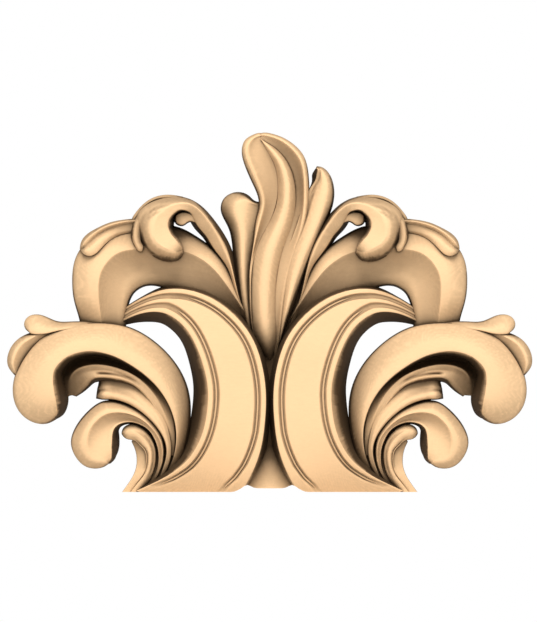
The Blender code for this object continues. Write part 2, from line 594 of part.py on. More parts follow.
def wall_foot(edge, inside, depth):
    """Where the wall under an edge comes out behind the back."""
    along = np.gradient(edge[:, :2], axis=0)
    out = np.stack((along[:, 1], -along[:, 0]), axis=1)
    out /= np.maximum(np.linalg.norm(out, axis=1), 1e-9)[:, None]
    away = edge[:, :2] - inside[:, :2]
    side = np.sign((out * away).sum(axis=1))
    side = np.sign(side.sum()) * np.ones_like(side)
    return edge[:, :2] + out * (side * edge[:, 3] * (edge[:, 2] + depth))[:, None]


def to_metres(x, z, height):
    return (x * MM, -height * MM, (z - MOUNT_HEIGHT) * MM)


def rim_of(rows):
    """The outer points of a grid, once round."""
    first = list(rows[0])
    far_ends = [row[-1] for row in rows[1:-1]]
    last = list(rows[-1])[::-1]
    near_ends = [row[0] for row in rows[1:-1]][::-1]
    return first + far_ends + last + near_ends


def strand_object(name, strand, mirrored, overrun):
    """A closed solid of one strand, run on behind the back."""
    top = surface_points(strand)
    foot = top.copy()
    foot[0, :, :2] = wall_foot(top[0], top[-1], LEAN_END)
    foot[-1, :, :2] = wall_foot(top[-1], top[0], LEAN_END)
    flip = -1.0 if mirrored else 1.0
    mesh = bmesh.new()

    def vertices(points):
        return [mesh.verts.new(to_metres(flip * x, z, height)) for x, z, height, _ in points]

    upper = [vertices(row) for row in top]
    rings = [rim_of(upper)]
    for depth in (LEAN_END, overrun):
        foot[:, :, 2] = -depth
        rings.append(vertices(rim_of(foot)))
    for row, next_row in zip(upper, upper[1:]):
        for j in range(len(row) - 1):
            mesh.faces.new((row[j], next_row[j], next_row[j + 1], row[j + 1]))
    for above, below in zip(rings, rings[1:]):
        for k in range(len(above)):
            mesh.faces.new((above[k - 1], above[k], below[k], below[k - 1]))
    mesh.faces.new(rings[-1])
    bmesh.ops.recalc_face_normals(mesh, faces=mesh.faces)
    return finished_object(name, mesh)


def finished_object(name, mesh):
    data = bpy.data.meshes.new(name)
    mesh.to_mesh(data)
    mesh.free()
    made = bpy.data.objects.new(name, data)
    bpy.context.scene.collection.objects.link(made)
    return made


def block_object(name, low, high):
    """A plain block between two corners, in metres."""
    mesh = bmesh.new()
    bmesh.ops.create_cube(mesh, size=1.0)
    for vert in mesh.verts:
        for axis in range(3):
            vert.co[axis] = low[axis] if vert.co[axis] < 0.0 else high[axis]
    return finished_object(name, mesh)


def foot_wave(x):
    """How far the foot is cut away above its flat part."""
    shoulder = min(1.0, (WAVE_HALF_WIDTH - abs(x)) / WAVE_SHOULDER)
    peak = math.exp(-((abs(x) - WAVE_PEAK_PLACE) / WAVE_PEAK_WIDTH) ** 2)
    return (WAVE_RISE + WAVE_PEAK_RISE * peak) * math.sin(shoulder * math.pi / 2.0) ** 2


def foot_cutter():
    """Everything below the foot, with the wave under the middle leaf."""
    outline = [(-CUTTER_REACH, 0.0)]
    for step in range(WAVE_STEPS + 1):
        x = (2.0 * step / WAVE_STEPS - 1.0) * WAVE_HALF_WIDTH
        outline.append((x, foot_wave(x)))
    outline.append((CUTTER_REACH, 0.0))
    outline.append((CUTTER_REACH, -FOOT_DROP))
    outline.append((-CUTTER_REACH, -FOOT_DROP))
    mesh = bmesh.new()
    verts = [mesh.verts.new(to_metres(x, z, CUTTER_FRONT)) for x, z in outline]
    face = mesh.faces.new(verts)
    grown = bmesh.ops.extrude_face_region(mesh, geom=[face])
    moved = [item for item in grown["geom"] if isinstance(item, bmesh.types.BMVert)]
    bmesh.ops.translate(mesh, verts=moved, vec=(0.0, (CUTTER_FRONT + CUTTER_BACK) * MM, 0.0))
    bmesh.ops.recalc_face_normals(mesh, faces=mesh.faces)
    return finished_object("foot_cutter", mesh)


def boolean_with(base, others, operation):
    """Join or cut with a group of solids, and drop the solids that were used."""
    group = bpy.data.collections.new("group")
    bpy.context.scene.collection.children.link(group)
    for other in others:
        bpy.context.scene.collection.objects.unlink(other)
        group.objects.link(other)
    modifier = base.modifiers.new("carve", "BOOLEAN")
    modifier.operand_type = "COLLECTION"
    modifier.collection = group
    modifier.operation = operation
    modifier.solver = "EXACT"
    graph = bpy.context.evaluated_depsgraph_get()
    result = bpy.data.meshes.new_from_object(base.evaluated_get(graph))
    base.modifiers.remove(modifier)
    base.data = result
    for other in others:
        bpy.data.objects.remove(other)
    bpy.data.collections.remove(group)


def wood():
    material = bpy.data.materials.new("carved_wood")
    material.use_nodes = True
    shader = material.node_tree.nodes["Principled BSDF"]
    shader.inputs["Base Color"].default_value = WOOD_COLOR
    shader.inputs["Roughness"].default_value = WOOD_ROUGHNESS
    return material


def drop_doubled_faces(mesh):
    """Take away hairline triangles that lie on each other with the same corners."""
    groups = {}
    for face in mesh.faces:
        groups.setdefault(frozenset(face.verts), []).append(face)
    doubled = [face for group in groups.values() if len(group) > 1 for face in group]
    bmesh.ops.delete(mesh, geom=doubled, context="FACES")


def clean(crest):
    """Weld hairline faces left by the joins and split the rest into triangles."""
    mesh = bmesh.new()
    mesh.from_mesh(crest.data)
    bmesh.ops.remove_doubles(mesh, verts=mesh.verts, dist=WELD * MM)
    bmesh.ops.dissolve_degenerate(mesh, dist=WELD * MM, edges=mesh.edges)
    bmesh.ops.triangulate(mesh, faces=mesh.faces)
    drop_doubled_faces(mesh)
    mesh.to_mesh(crest.data)
    mesh.free()


def build():
    for item in list(bpy.data.objects):
        bpy.data.objects.remove(item)
    solids = []
    for number, strand in enumerate(SIDE_STRANDS):
        for mirrored in (False, True):
            overrun = OVERRUN + OVERRUN_STEP * (2 * number + mirrored)
            solids.append(strand_object("strand", strand, mirrored, overrun))
    for number, strand in enumerate(MIDDLE_STRANDS):
        overrun = MIDDLE_OVERRUN + OVERRUN_STEP * number
        solids.append(strand_object("strand", strand, False, overrun))
    crest = solids.pop()
    crest.name = "acanthus_crest"
    boolean_with(crest, solids, "UNION")
    reach = CUTTER_REACH * MM
    behind = block_object("behind", (-reach, 0.0, -reach), (reach, reach, reach))
    boolean_with(crest, [behind], "DIFFERENCE")
    boolean_with(crest, [foot_cutter()], "DIFFERENCE")
    clean(crest)
    crest.data.materials.clear()
    crest.data.materials.append(wood())
    crest.data.shade_smooth()
    crest.data.set_sharp_from_angle(angle=SHARP_ANGLE)
    return crest


build()
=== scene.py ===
"""Carved acanthus crest applique, at its real size.

The crest is one piece of carved wood with a flat back. It is drawn as carved strands: each strand
is a few smooth lines, called rails, with the height of the carving along them, and the shape that
the wood takes from one rail to the next. The strands are joined into one fine mesh, which is cut
flat behind and below. Geometry Nodes sweep the thin beads that lie in the scrolls' grooves.

Tables are in millimetres: how far from the centre line, and how far above the foot.
"""
import json
import math
import bmesh
import bpy
import mathutils
import numpy as np
from mathutils.bvhtree import BVHTree
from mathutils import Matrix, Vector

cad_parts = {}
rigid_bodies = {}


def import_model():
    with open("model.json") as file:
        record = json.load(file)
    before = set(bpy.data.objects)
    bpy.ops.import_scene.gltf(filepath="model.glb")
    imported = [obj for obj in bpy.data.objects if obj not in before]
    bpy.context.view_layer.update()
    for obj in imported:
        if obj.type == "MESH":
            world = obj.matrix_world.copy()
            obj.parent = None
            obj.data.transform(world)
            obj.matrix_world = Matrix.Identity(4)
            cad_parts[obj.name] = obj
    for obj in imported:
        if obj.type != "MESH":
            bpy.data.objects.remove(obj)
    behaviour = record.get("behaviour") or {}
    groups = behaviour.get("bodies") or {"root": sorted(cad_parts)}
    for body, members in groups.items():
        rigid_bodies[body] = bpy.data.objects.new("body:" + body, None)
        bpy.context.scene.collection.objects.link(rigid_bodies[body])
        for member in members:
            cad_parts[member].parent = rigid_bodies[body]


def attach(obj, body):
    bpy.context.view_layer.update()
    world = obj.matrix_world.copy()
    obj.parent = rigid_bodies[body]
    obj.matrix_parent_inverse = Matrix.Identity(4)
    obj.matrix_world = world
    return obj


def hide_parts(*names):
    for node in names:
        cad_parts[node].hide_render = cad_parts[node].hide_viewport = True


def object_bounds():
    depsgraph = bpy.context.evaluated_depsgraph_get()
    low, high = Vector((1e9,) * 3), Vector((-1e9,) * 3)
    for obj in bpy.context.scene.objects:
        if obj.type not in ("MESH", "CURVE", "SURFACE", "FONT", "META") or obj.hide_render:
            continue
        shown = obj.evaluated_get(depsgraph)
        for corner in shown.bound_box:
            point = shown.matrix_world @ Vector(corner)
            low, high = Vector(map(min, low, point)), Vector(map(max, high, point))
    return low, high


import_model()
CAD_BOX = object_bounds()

bl_info = {
    "name": "Acanthus Crest Applique",
    "version": (1, 0, 0),
    "blender": (4, 5, 0),
    "location": "View3D > Sidebar > Crest",
    "description": "Builds a carved acanthus crest with its finish, and a plain stage for it",
    "category": "Object",
}

NODE = "acanthus_crest"
PIECE = "carved_crest"
MM = 0.001
# The point of the flat back that the crest is placed by is this far above the foot.
MOUNT_HEIGHT = 60.0

# Strands run on behind the back, each a little further than the last, and are cut there.
OVERRUN = 4.0
OVERRUN_STEP = 0.13
MIDDLE_OVERRUN = 10.0
CUTTER_REACH = 200.0
CUTTER_FRONT = 60.0
CUTTER_BACK = 30.0
FOOT_DROP = 40.0

# Walls lean out by a share of their height. They stop leaning a little behind the back.
PLUMB_WALLS = (0.0, 0.0)
STEEP = 0.12
LEAN_END = 1.0
# A wall that leans further than this has rows of points down it.
WALL_LEAN = 0.15
WALL_STEPS = 4

# Rows of the surface that follow a rounded edge, as shares of its radius.
EASED_ROWS = (0.06, 0.25, 0.55, 1.0)
# The rows beside an edge take at most this share of a narrow strand, and its rounding this one.
NEAR_SHARE = 0.45
EASE_SHARE = 0.3
# A span has rows for the width that this percentage of its stations stay under.
WIDTH_PERCENTAGE = 70
LEAST_ROWS = 3
# How far a dished face dips below its own far edge.
DISH_DIP = 1.0
# Values that are divided by are kept above these.
LEAST_WIDTH = 1e-6
LEAST_STEP = 1e-9
LEAST_LINE_WIDTH = 1e-3

# The double groove beside each edge of the scroll: how far in its middle lies, its width, how
# square it is, and the rows of the surface that follow it.
GROOVE_OFFSET = 5.1
GROOVE_WIDTH = 1.9
GROOVE_POWER = 6
GROOVE_ROWS = EASED_ROWS + (1.5, 2.1, 2.7, 3.05, 3.35, 3.65, 4.0, 4.5, 5.1, 5.7, 6.2, 6.55, 6.85,
                            7.15, 7.6)
# A line carved without a power of its own has the section of a bell.
ROUND_POWER = 2

# The bead in each groove, which tapers at both ends.
BEAD_RADIUS = 0.65
BEAD_LIFT = 0.1
BEAD_SIDES = 10
BEAD_TIP = 0.35
BEAD_TAPER_POINTS = 8

# Points closer than this are merged, in metres. Edges that turn by less than the angle are smooth.
WELD = 0.000002
SHARP_ANGLE = math.radians(34.0)
# A face turned this far towards the wall belongs to the flat back.
BACK_FACING = 0.99

# The wood's finish: fibre across the crest, and fine specks.
FIBRE_STRETCH = (0.25, 1.0, 1.0)
FIBRE_SCALE = 900.0
FIBRE_DETAIL = 4.0
FIBRE_ROUGHNESS = 0.65
FIBRE_DEPTH = 0.0001
SPECK_SCALE = 2600.0
SPECK_DETAIL = 2.0
SPECK_SHARE = 0.5
# The noise values that give the darkest and the palest wood.
NOISE_RANGE = (0.3, 0.7)
# Painted shade: how far the colour has gone from the painted recess shade to the open wood, by how open
# the place is.
PAINTED_SHADE_RAMP = ((0.3, 0.03), (0.5, 0.15), (0.6, 0.3), (0.7, 0.45), (0.8, 0.59), (0.9, 0.76), (0.96, 0.97),
               (1.0, 1.0))

# The studio, in metres.
FLOOR_GAP = 0.0002
FLOOR_ROUGHNESS = 0.7
FLOOR_CLOUD_SCALE = 3.0
FLOOR_CLOUD_SHADE = 0.98
LIGHT_AIM = (0.0, 0.0, 0.04)
FRONT_PLACE = (0.0, -1.49, 2.17)
FRONT_SIZE = 1.2
SIDE_PLACE = (1.75, -1.0, 0.35)
SIDE_SIZE = 0.6

# Each strand has its rails, the height along each rail and the shape of the span from each rail
# to the next. It may have how soft its first and last edges are, how far the walls under them
# lean, and lines carved along one of its rails.

# The C-shaped scroll: a broad band from under the upper scroll, round to the foot.
SCROLL = {
    "rails": (
        ((-91, 108), (-75, 117.5), (-64, 121.4), (-50, 121.5), (-35, 116.3), (-20.5, 105.5),
         (-10.5, 92.5), (-4.7, 77), (-2.2, 60), (-2.6, 43.5), (-6, 23), (-12.7, 7), (-21, -6),
         (-33, -20)),
        ((-91, 100.8), (-77.5, 106.9), (-69, 108), (-61, 106.3), (-53, 100.7), (-46.5, 92),
         (-42, 82), (-38.6, 70.5), (-37.1, 58), (-38.5, 43), (-43.5, 28), (-51, 17.5),
         (-62, 9.5), (-80, 0.8)),
    ),
    "heights": (
        (5, 14, 19, 22, 24, 25, 26, 26, 26, 26, 25, 21, 13, 4),
        (6, 16, 20, 22, 24, 25, 26, 26, 26, 26, 24, 20, 15, 7),
    ),
    "spans": ("flat",),
    "near_rows": GROOVE_ROWS,
    "lines": (
        {"rail": 0, "places": (0.0, 0.1, 0.2, 0.7, 0.8, 0.84, 0.87, 0.9, 0.92),
         "offsets": (GROOVE_OFFSET,) * 4 + (6.8, 8.3, 10.3, 10.9, 11.0),
         "depths": (0.6, 1.3, 2.0, 2.0, 2.0, 1.7, 1.0, 0.2, 0.0), "widths": (GROOVE_WIDTH,) * 9,
         "power": GROOVE_POWER, "bead": (0.225, 0.885)},
        {"rail": 1, "places": (0.0, 0.1, 0.2, 0.7, 0.85, 0.91, 0.955, 0.97),
         "offsets": (-GROOVE_OFFSET,) * 5 + (-4.2, -2.6, -2.0),
         "depths": (0.6, 1.3, 2.0, 2.0, 2.0, 1.4, 0.4, 0.0), "widths": (GROOVE_WIDTH,) * 8,
         "power": GROOVE_POWER, "bead": (0.225, 0.94)},
    ),
    "walls": (
        (0.05, 0.05, 0.1, 0.14, 0.16, 0.16, 0.16, 0.16, 0.16, 0.16, 0.2, 0.25, 0.3, 0.3),
        (0.34, 0.34, 0.32, 0.3, 0.28, 0.27, 0.29, 0.32, 0.35, 0.36, 0.34, 0.3, 0.25, 0.2),
    ),
}

# The upper scroll: a ridge with a full outer side and a hollow inner side.
UPPER_SCROLL = {
    "rails": (
        ((-113, 92), (-113.8, 102), (-116.9, 114), (-118.2, 126), (-116.3, 140), (-107, 152),
         (-90, 158), (-70, 160), (-55, 158.8), (-44, 153.2), (-33, 145), (-24, 132.5),
         (-16.5, 114), (-7, 97)),
        ((-101, 92), (-101.2, 101), (-102.5, 113), (-102.8, 126), (-99.5, 135.5), (-92, 143),
         (-80, 145.8), (-66, 146.5), (-53, 144.8), (-43, 141), (-34, 134.3), (-26, 124.5),
         (-15, 108), (-5.5, 93)),
        ((-92, 92), (-91.6, 101), (-90.6, 111.5), (-88, 121.5), (-83.4, 128), (-76.5, 131),
         (-68.5, 130.8), (-60.5, 128.4), (-52, 125), (-43.5, 121.3), (-34.5, 115.6), (-26, 108),
         (-14, 98), (-4.5, 88)),
        ((-87.5, 92), (-86.6, 101), (-85.6, 111), (-83, 118.2), (-79.5, 121.9), (-75, 124.1),
         (-69, 124.4), (-62, 122.3), (-54, 119), (-46, 116), (-37, 111), (-28, 104), (-14, 93),
         (-4, 84)),
    ),
    "heights": (
        (5, 8, 13, 14, 14, 14, 12, 11.5, 11, 11.5, 12, 11, 9, 4),
        (9, 13, 19, 22, 22, 21, 20.5, 20, 19, 18, 17, 15, 12, 6),
        (7, 9, 11, 12, 12, 11.5, 11, 10.5, 10, 9.5, 9, 8, 7, 4),
        (5, 6.5, 8, 8.5, 8.5, 8.5, 8, 7, 6, 5, 4, 3, 2, 1),
    ),
    "spans": ("swell", "hollow", "roll"),
    "soft": (3.0, 1.5),
    "walls": (0.03, STEEP),
}

# The turned edge that lies over the upper scroll.
TURNED_EDGE = {
    "rails": (
        ((-114, 146), (-113.2, 150), (-110.2, 154.2), (-104, 158.2), (-96, 161.7), (-88, 163.4),
         (-76, 164.2)),
        ((-113.9, 145.8), (-112.2, 148.2), (-109.4, 151.4), (-104.2, 155.8), (-97, 159.6),
         (-89, 161.8), (-76, 162.6)),
        ((-113.8, 145.6), (-111.4, 146.8), (-108.6, 149), (-104.3, 153.3), (-98, 157.3),
         (-90, 159.9), (-76, 160.9)),
        ((-113.75, 145.5), (-111.6, 144.8), (-108.3, 145), (-103.6, 148.4), (-98, 152.8),
         (-90.6, 156.2), (-76, 157.8)),
        ((-113.7, 145.4), (-112, 142.9), (-108, 141.5), (-103, 144.1), (-98, 149),
         (-91, 153.4), (-76, 155.2)),
    ),
    "heights": (
        (13, 14, 14, 14, 14, 14, 14),
        (14, 20, 22.5, 22.3, 21, 19.6, 18.4),
        (14, 19, 20.6, 20.2, 18.8, 17.6, 16.8),
        (14, 20.2, 22.6, 22.4, 20.4, 17.8, 16.8),
        (14, 18.8, 21, 21.2, 19.2, 16.2, 15.4),
    ),
    "spans": ("swell", "cove", "cove", "roll"),
}

# The rolled curl: a stem that rises beside the tall leaf and rolls over into a full hood.
CURL = {
    "rails": (
        ((-10, 99), (-17, 116), (-20.6, 133.8), (-22.6, 144.6), (-28, 155.4), (-34.6, 164.5),
         (-41.5, 171.6), (-49.5, 175.9), (-58, 177), (-67, 175.4), (-75, 171.4), (-79.9, 165.4),
         (-80.8, 157.4), (-79.2, 149.2), (-75.3, 142.8), (-68.5, 138.2), (-60.8, 136.5),
         (-54.6, 138.3), (-51.5, 143.2)),
        ((-11.6, 98.6), (-18.6, 116.4), (-22.9, 133.9), (-26.6, 143.9), (-31.4, 153.8),
         (-36.6, 162), (-42.2, 168.8), (-49.2, 172.8), (-57.4, 172), (-64, 168.6), (-68, 164.2),
         (-69.8, 159.4), (-70, 155.2), (-68.8, 151.6), (-66, 148.6), (-62.4, 146.5), (-59, 145),
         (-56, 144.4), (-53.4, 144.8)),
        ((-13.5, 98), (-21, 117.5), (-26.3, 135.6), (-33.6, 145.8), (-38.6, 153.8),
         (-43.6, 159.8), (-46.6, 165.6), (-48.8, 168.2), (-53, 169.3), (-57, 167.4),
         (-60.2, 163.4), (-60.8, 159.4), (-59.8, 156.4), (-58.4, 154), (-57, 152.4),
         (-55.6, 150.8), (-54.4, 149.2), (-53.3, 147.4), (-52.4, 145.7)),
    ),
    "heights": (
        (6, 6, 7, 8, 9.5, 11.5, 14, 16.5, 18, 19, 19, 17, 14, 11, 8, 6.5, 7, 11, 19),
        (8.7, 13.5, 16.5, 18.5, 20.5, 23, 25.5, 28, 30, 31.5, 32.5, 33, 33, 33, 33, 32.7, 31.5, 29,
         24.5),
        (7.5, 11, 13.5, 15.5, 17.5, 20, 22.5, 25.5, 28, 28.8, 29.5, 30, 30, 30, 30, 29.8, 29, 27.3,
         24),
    ),
    "spans": ("swell", "flat"),
    "soft": (1.0, 1.3),
    "lines": (
        {"rail": 0, "places": (0.58, 0.65, 0.72, 0.79), "offsets": (4.4, 4.6, 4.4, 3.6),
         "depths": (0, 1.8, 2.0, 0), "widths": (0.8, 1, 1, 0.8)},
        {"rail": 0, "places": (0.6, 0.67, 0.74), "offsets": (7, 7, 6.4),
         "depths": (0, 1.2, 0), "widths": (0.8, 1, 0.8)},
    ),
    "walls": (0.03, STEEP),
}

# The fold of the hood's edge, at its lower left.
HOOD_FOLD = {
    "rails": (
        ((-78.6, 168), (-81.6, 162.6), (-83, 157), (-83, 151.5), (-81.2, 147), (-78.6, 144.1),
         (-77, 143.9)),
        ((-76, 166), (-79, 161.4), (-80.4, 156.6), (-80.3, 152), (-79.2, 148.2), (-77.5, 145.8),
         (-76.6, 144.9)),
        ((-72, 164), (-75.5, 160), (-77, 156), (-77.2, 152.4), (-76.6, 149.4), (-75.6, 147),
         (-75.9, 145.8)),
    ),
    "heights": (
        (15, 16.5, 17.5, 19, 20, 20.5, 20.5),
        (19, 21.5, 23.5, 24, 24, 23.5, 22.5),
        (17, 19, 20.5, 21, 21.5, 22, 22),
    ),
    "spans": ("swell", "roll"),
    "walls": (0.03, 0.0),
}

# The low rim that shows behind the hood.
CURL_RIM = {
    "rails": (
        ((-52, 177.2), (-60, 178.4), (-66, 177.9), (-71.5, 175.9), (-76.5, 172.2), (-80.2, 168),
         (-82.7, 164), (-83.3, 160.8)),
        ((-52, 175.6), (-60, 177), (-65.7, 176.6), (-70.8, 174.7), (-75.5, 171.2), (-79, 167.2),
         (-81.4, 163.4), (-82.2, 160.2)),
        ((-52, 174), (-60, 175), (-65, 174.8), (-69.7, 173), (-74, 169.7), (-77.2, 166),
         (-79.6, 162.4), (-80.8, 159.2)),
    ),
    "heights": (
        (13, 15.5, 15.5, 15, 15, 15, 15, 14.5),
        (16, 18, 17.5, 16.8, 16.6, 16.5, 16.5, 16),
        (16, 17.5, 14, 9, 8, 8, 8, 9),
    ),
    "spans": ("swell", "roll"),
}

# The inner band of the stem, which ends in a round knob under the hood.
KNOB_NECK = {
    "rails": (
        ((-37.6, 157), (-41.5, 161.8), (-45, 165.4), (-48, 167.2), (-51, 167.8), (-53.6, 167.6),
         (-55.6, 166.6), (-56.6, 165), (-56.9, 163.9)),
        ((-38.2, 154), (-41, 158), (-44.5, 161.2), (-47.6, 162.5), (-50.2, 161.4),
         (-52.2, 160.2), (-54.6, 160.4), (-56.4, 162), (-56.85, 163.2)),
    ),
    "heights": (
        (18, 20, 21.8, 22.8, 23.4, 23.8, 23.6, 22.6, 21),
        (16.5, 18, 20, 21.8, 23, 23.6, 23.4, 22.4, 21),
    ),
    "spans": ("flat",),
    "soft": (1.4, 1.4),
    "walls": (0.0, 0.03),
}

# The great leaf: it springs from beside the scroll and turns down into a full round lobe.
GREAT_LEAF = {
    "rails": (
        ((-61, 8), (-53, 20), (-49.5, 31), (-47.4, 46), (-48.8, 61), (-56, 76.5), (-68, 89.3),
         (-85, 99), (-108, 101.5), (-124, 99.4), (-137, 92.4), (-148, 79.6), (-153.8, 64),
         (-150.5, 49), (-140.5, 41.6), (-133, 41.4), (-128.8, 43.4)),
        ((-63.5, 9), (-58.2, 20), (-56.2, 30), (-57.4, 44), (-63.8, 58.2), (-76, 71.2), (-91, 80.4),
         (-103, 84), (-113, 83.9), (-121.5, 81), (-127.3, 76), (-129.9, 70), (-129.6, 62),
         (-128.4, 55.5), (-127.6, 50.5), (-127.6, 46.8), (-128.2, 44.6)),
    ),
    "heights": (
        (3, 5, 7, 8, 9, 11, 13, 15, 17, 17, 17, 17, 17, 16, 15, 14, 13),
        (3, 8, 13, 18, 21, 23, 24, 25, 26, 27, 27, 27, 27, 26, 23, 19, 14),
    ),
    "spans": ("swell",),
    "soft": (3.0, 0.7),
    "walls": (
        0.02,
        (0.05, 0.05, 0.05, 0.06, 0.08, 0.1, 0.12, 0.14, 0.15, 0.16, 0.19, 0.24, 0.3, 0.31, 0.28, 0.2,
         0.1),
    ),
}

# The lobe that shows outside the great leaf, and the small lobe above it.
SIDE_LOBE = {
    "rails": (
        ((-152.8, 69.8), (-157, 75.5), (-156.2, 85), (-151, 91.8), (-143.5, 95.6), (-132, 97.8),
         (-118, 100)),
        ((-152.2, 71), (-153.8, 76.5), (-151.8, 84), (-147.3, 89.6), (-140.5, 93.4),
         (-131, 96.6), (-118, 99)),
        ((-149, 72), (-147.5, 77), (-144.5, 82), (-140, 87), (-135, 90.5), (-129, 93.4),
         (-118, 96)),
    ),
    "heights": (
        (12, 12, 12, 12, 12, 13, 14),
        (15, 17, 17.5, 17.5, 17.5, 17.5, 17),
        (13, 13, 13, 13.5, 14, 15, 16),
    ),
    "spans": ("swell", "flat"),
    "soft": (2.0, 1.0),
}
TOP_LOBE = {
    "rails": (
        ((-92, 100.8), (-106, 102), (-118, 102.4), (-128, 102.7), (-134, 105.2), (-139.5, 106.6),
         (-145.2, 105), (-147.4, 101), (-146.4, 97.6), (-144.6, 96)),
        ((-92, 97), (-106, 97.5), (-118, 97.6), (-128, 96.4), (-134, 95), (-138.4, 94.6),
         (-141, 94.6), (-142.6, 94.8), (-143.4, 95), (-144, 95.4)),
    ),
    "heights": (
        (13, 14, 14, 13, 12, 12, 12, 12, 12, 12),
        (16, 18, 19, 19.5, 19.5, 19, 18, 17, 15.5, 13.5),
    ),
    "spans": ("swell",),
    "soft": (2.0, 1.0),
}

# The fringe leaf under the great leaf, in two lobes.
FRINGE_UPPER = {
    "rails": (
        ((-123.5, 56.5), (-126.5, 66), (-120, 78.5), (-107, 82), (-91.5, 79.5), (-78, 72.7),
         (-67, 62.3), (-59.4, 49.2), (-56.8, 36), (-57.2, 22)),
        ((-120.4, 58), (-120.2, 67), (-114.3, 74.3), (-104, 76.3), (-92, 74.3), (-80.5, 69.3),
         (-70.5, 60), (-63.6, 48), (-59.6, 36), (-59.8, 22)),
        ((-117.4, 58.6), (-113.6, 64.2), (-109.2, 68.6), (-103, 69.9), (-93, 69.4),
         (-82.5, 66.2), (-73.5, 58.6), (-65.8, 47), (-61.2, 36), (-61.4, 22)),
        ((-116, 57.2), (-111.6, 60.2), (-107.2, 64.6), (-103, 66.9), (-93, 66.2),
         (-83, 63.2), (-74.5, 56), (-67, 45.5), (-62.2, 35.5), (-62.2, 22)),
    ),
    "heights": (
        (0.5, 1, 2.5, 4.5, 7.5, 11.5, 14, 14, 12, 7.5),
        (1.5, 7, 15, 18, 19, 19, 18, 16, 12.5, 8),
        (2.5, 8.5, 14.5, 17.5, 18, 17.5, 16.5, 14.5, 12, 7.5),
        (1.5, 3, 7, 10, 11, 11.5, 12.5, 12.5, 10.5, 6),
    ),
    "spans": ("roll", "flat", "roll"),
    "lines": (
        {"rail": 1, "places": (0.08, 0.16, 0.3, 0.45, 0.58), "offsets": (2.2, 2.2, 2, 1.8, 1.7),
         "depths": (0, 1.8, 2, 1.4, 0), "widths": (0.9, 1, 1, 0.9, 0.8)},
        {"rail": 2, "places": (0.27, 0.32, 0.42, 0.53, 0.6), "offsets": (-1.2, -1.3, -1.4, -1.2, -1),
         "depths": (0, 2, 2.2, 1.6, 0), "widths": (0.75, 0.8, 0.8, 0.7, 0.6)},
    ),
    "soft": (1.0, 1.5),
    "walls": (0.0, 0.1),
}
FRINGE_LOWER = {
    "rails": (
        ((-102.2, 67.5), (-100.4, 68.8), (-93, 69), (-82, 66), (-73, 58.5), (-64.8, 47.5),
         (-60.2, 35), (-59.4, 21), (-64, 8)),
        ((-103.5, 62), (-100.8, 62.3), (-93.5, 62), (-83.6, 58.8), (-75, 52), (-66.9, 42.8),
         (-62, 32.4), (-61.2, 20.6), (-65.4, 8)),
        ((-104, 58.4), (-101.2, 58.6), (-94.5, 58), (-84.6, 55.2), (-75.8, 49.6), (-68, 41.4),
         (-62.7, 32), (-61.8, 20.4), (-66, 8)),
        ((-104.2, 56.2), (-101.4, 55.8), (-95, 55.6), (-85, 52.8), (-76.4, 47.4), (-69, 40.2),
         (-63.5, 31.5), (-62.5, 20.8), (-66.8, 8)),
    ),
    "heights": (
        (4, 8, 10, 12, 14, 14.5, 13, 10, 3),
        (6, 11.5, 13, 14.5, 16, 15.5, 14, 10, 4),
        (7, 13, 15, 16, 16.5, 16, 14, 10, 4),
        (6, 11, 13.5, 14.5, 15, 14.5, 13, 9, 3),
    ),
    "spans": ("cove", "cove", "roll"),
    "lines": (
        {"rail": 1, "places": (0, 0.04, 0.09, 0.16), "offsets": (1, 1, 0.6, 0.3),
         "depths": (1.2, 1.2, 0.8, 0), "widths": (0.8, 0.8, 0.7, 0.6)},
    ),
    "walls": (0.0, 0.03),
}

# The low web that ties the roots of the fringe, the small leaf and the tendril together.
ROOT_WEB = {
    "rails": (
        ((-57, 6), (-55.5, 20), (-56, 32), (-60.5, 43), (-67.5, 52.5), (-77, 60), (-88, 63),
         (-99, 63)),
        ((-83.5, 2), (-74.5, 14), (-72.6, 22), (-73.6, 29), (-77, 35), (-81.5, 39), (-87, 46),
         (-99, 57)),
    ),
    "heights": (
        (4,) * 8,
        (4,) * 8,
    ),
    "spans": ("flat",),
}

# The small leaf below the fringe turns down into a lobe with a raised rim.
SMALL_LEAF = {
    "rails": (
        ((-70, 4), (-64, 16), (-62.8, 26), (-64.8, 36), (-70.5, 44.5), (-79.5, 50.8), (-89.5, 54),
         (-98.8, 54.6), (-109, 48.2), (-116.3, 38.8), (-119, 30), (-116.5, 21.7), (-110, 15.4),
         (-103, 14.4), (-99.2, 15.5), (-97, 17)),
        ((-70.8, 4.6), (-65.4, 16), (-64.6, 25.8), (-67.2, 33.7), (-72.6, 40.2), (-80, 45.3),
         (-89, 47.8), (-97, 47.2), (-104, 42.8), (-108.6, 36), (-110, 29), (-108.5, 22.5),
         (-104.2, 19), (-99.9, 18.6), (-97.8, 18), (-96.9, 17.3)),
        ((-71.6, 5), (-67.2, 15), (-66.7, 23.5), (-68.4, 30.3), (-72, 36.5), (-77.5, 40.4),
         (-83.4, 42), (-88.4, 41.4), (-92.3, 39.2), (-94.2, 35.5), (-94.6, 31), (-94.8, 27.4),
         (-94.7, 24.6), (-94.8, 22), (-95.3, 19.6), (-96.7, 17.6)),
    ),
    "heights": (
        (2, 5, 7, 8, 9, 9.5, 10, 10.5, 11, 11, 11, 11, 11, 11, 11, 11),
        (4, 8, 11, 13, 14, 15.5, 17, 17.5, 18, 18.2, 17.8, 17, 16, 15, 13.8, 12),
        (3, 7, 9.5, 11.5, 12.5, 13, 13.5, 14, 14.5, 15, 15.4, 15.5, 15.2, 14.4, 13.3, 11.8),
    ),
    "spans": ("swell", "dish"),
    "soft": (1.5, 0.8),
    "walls": (
        0.03,
        (0.1, 0.1, 0.1, 0.1, 0.1, 0.1, 0.1, 0.12, 0.2, 0.28, 0.31, 0.31, 0.27, 0.21, 0.15, 0.1),
    ),
}

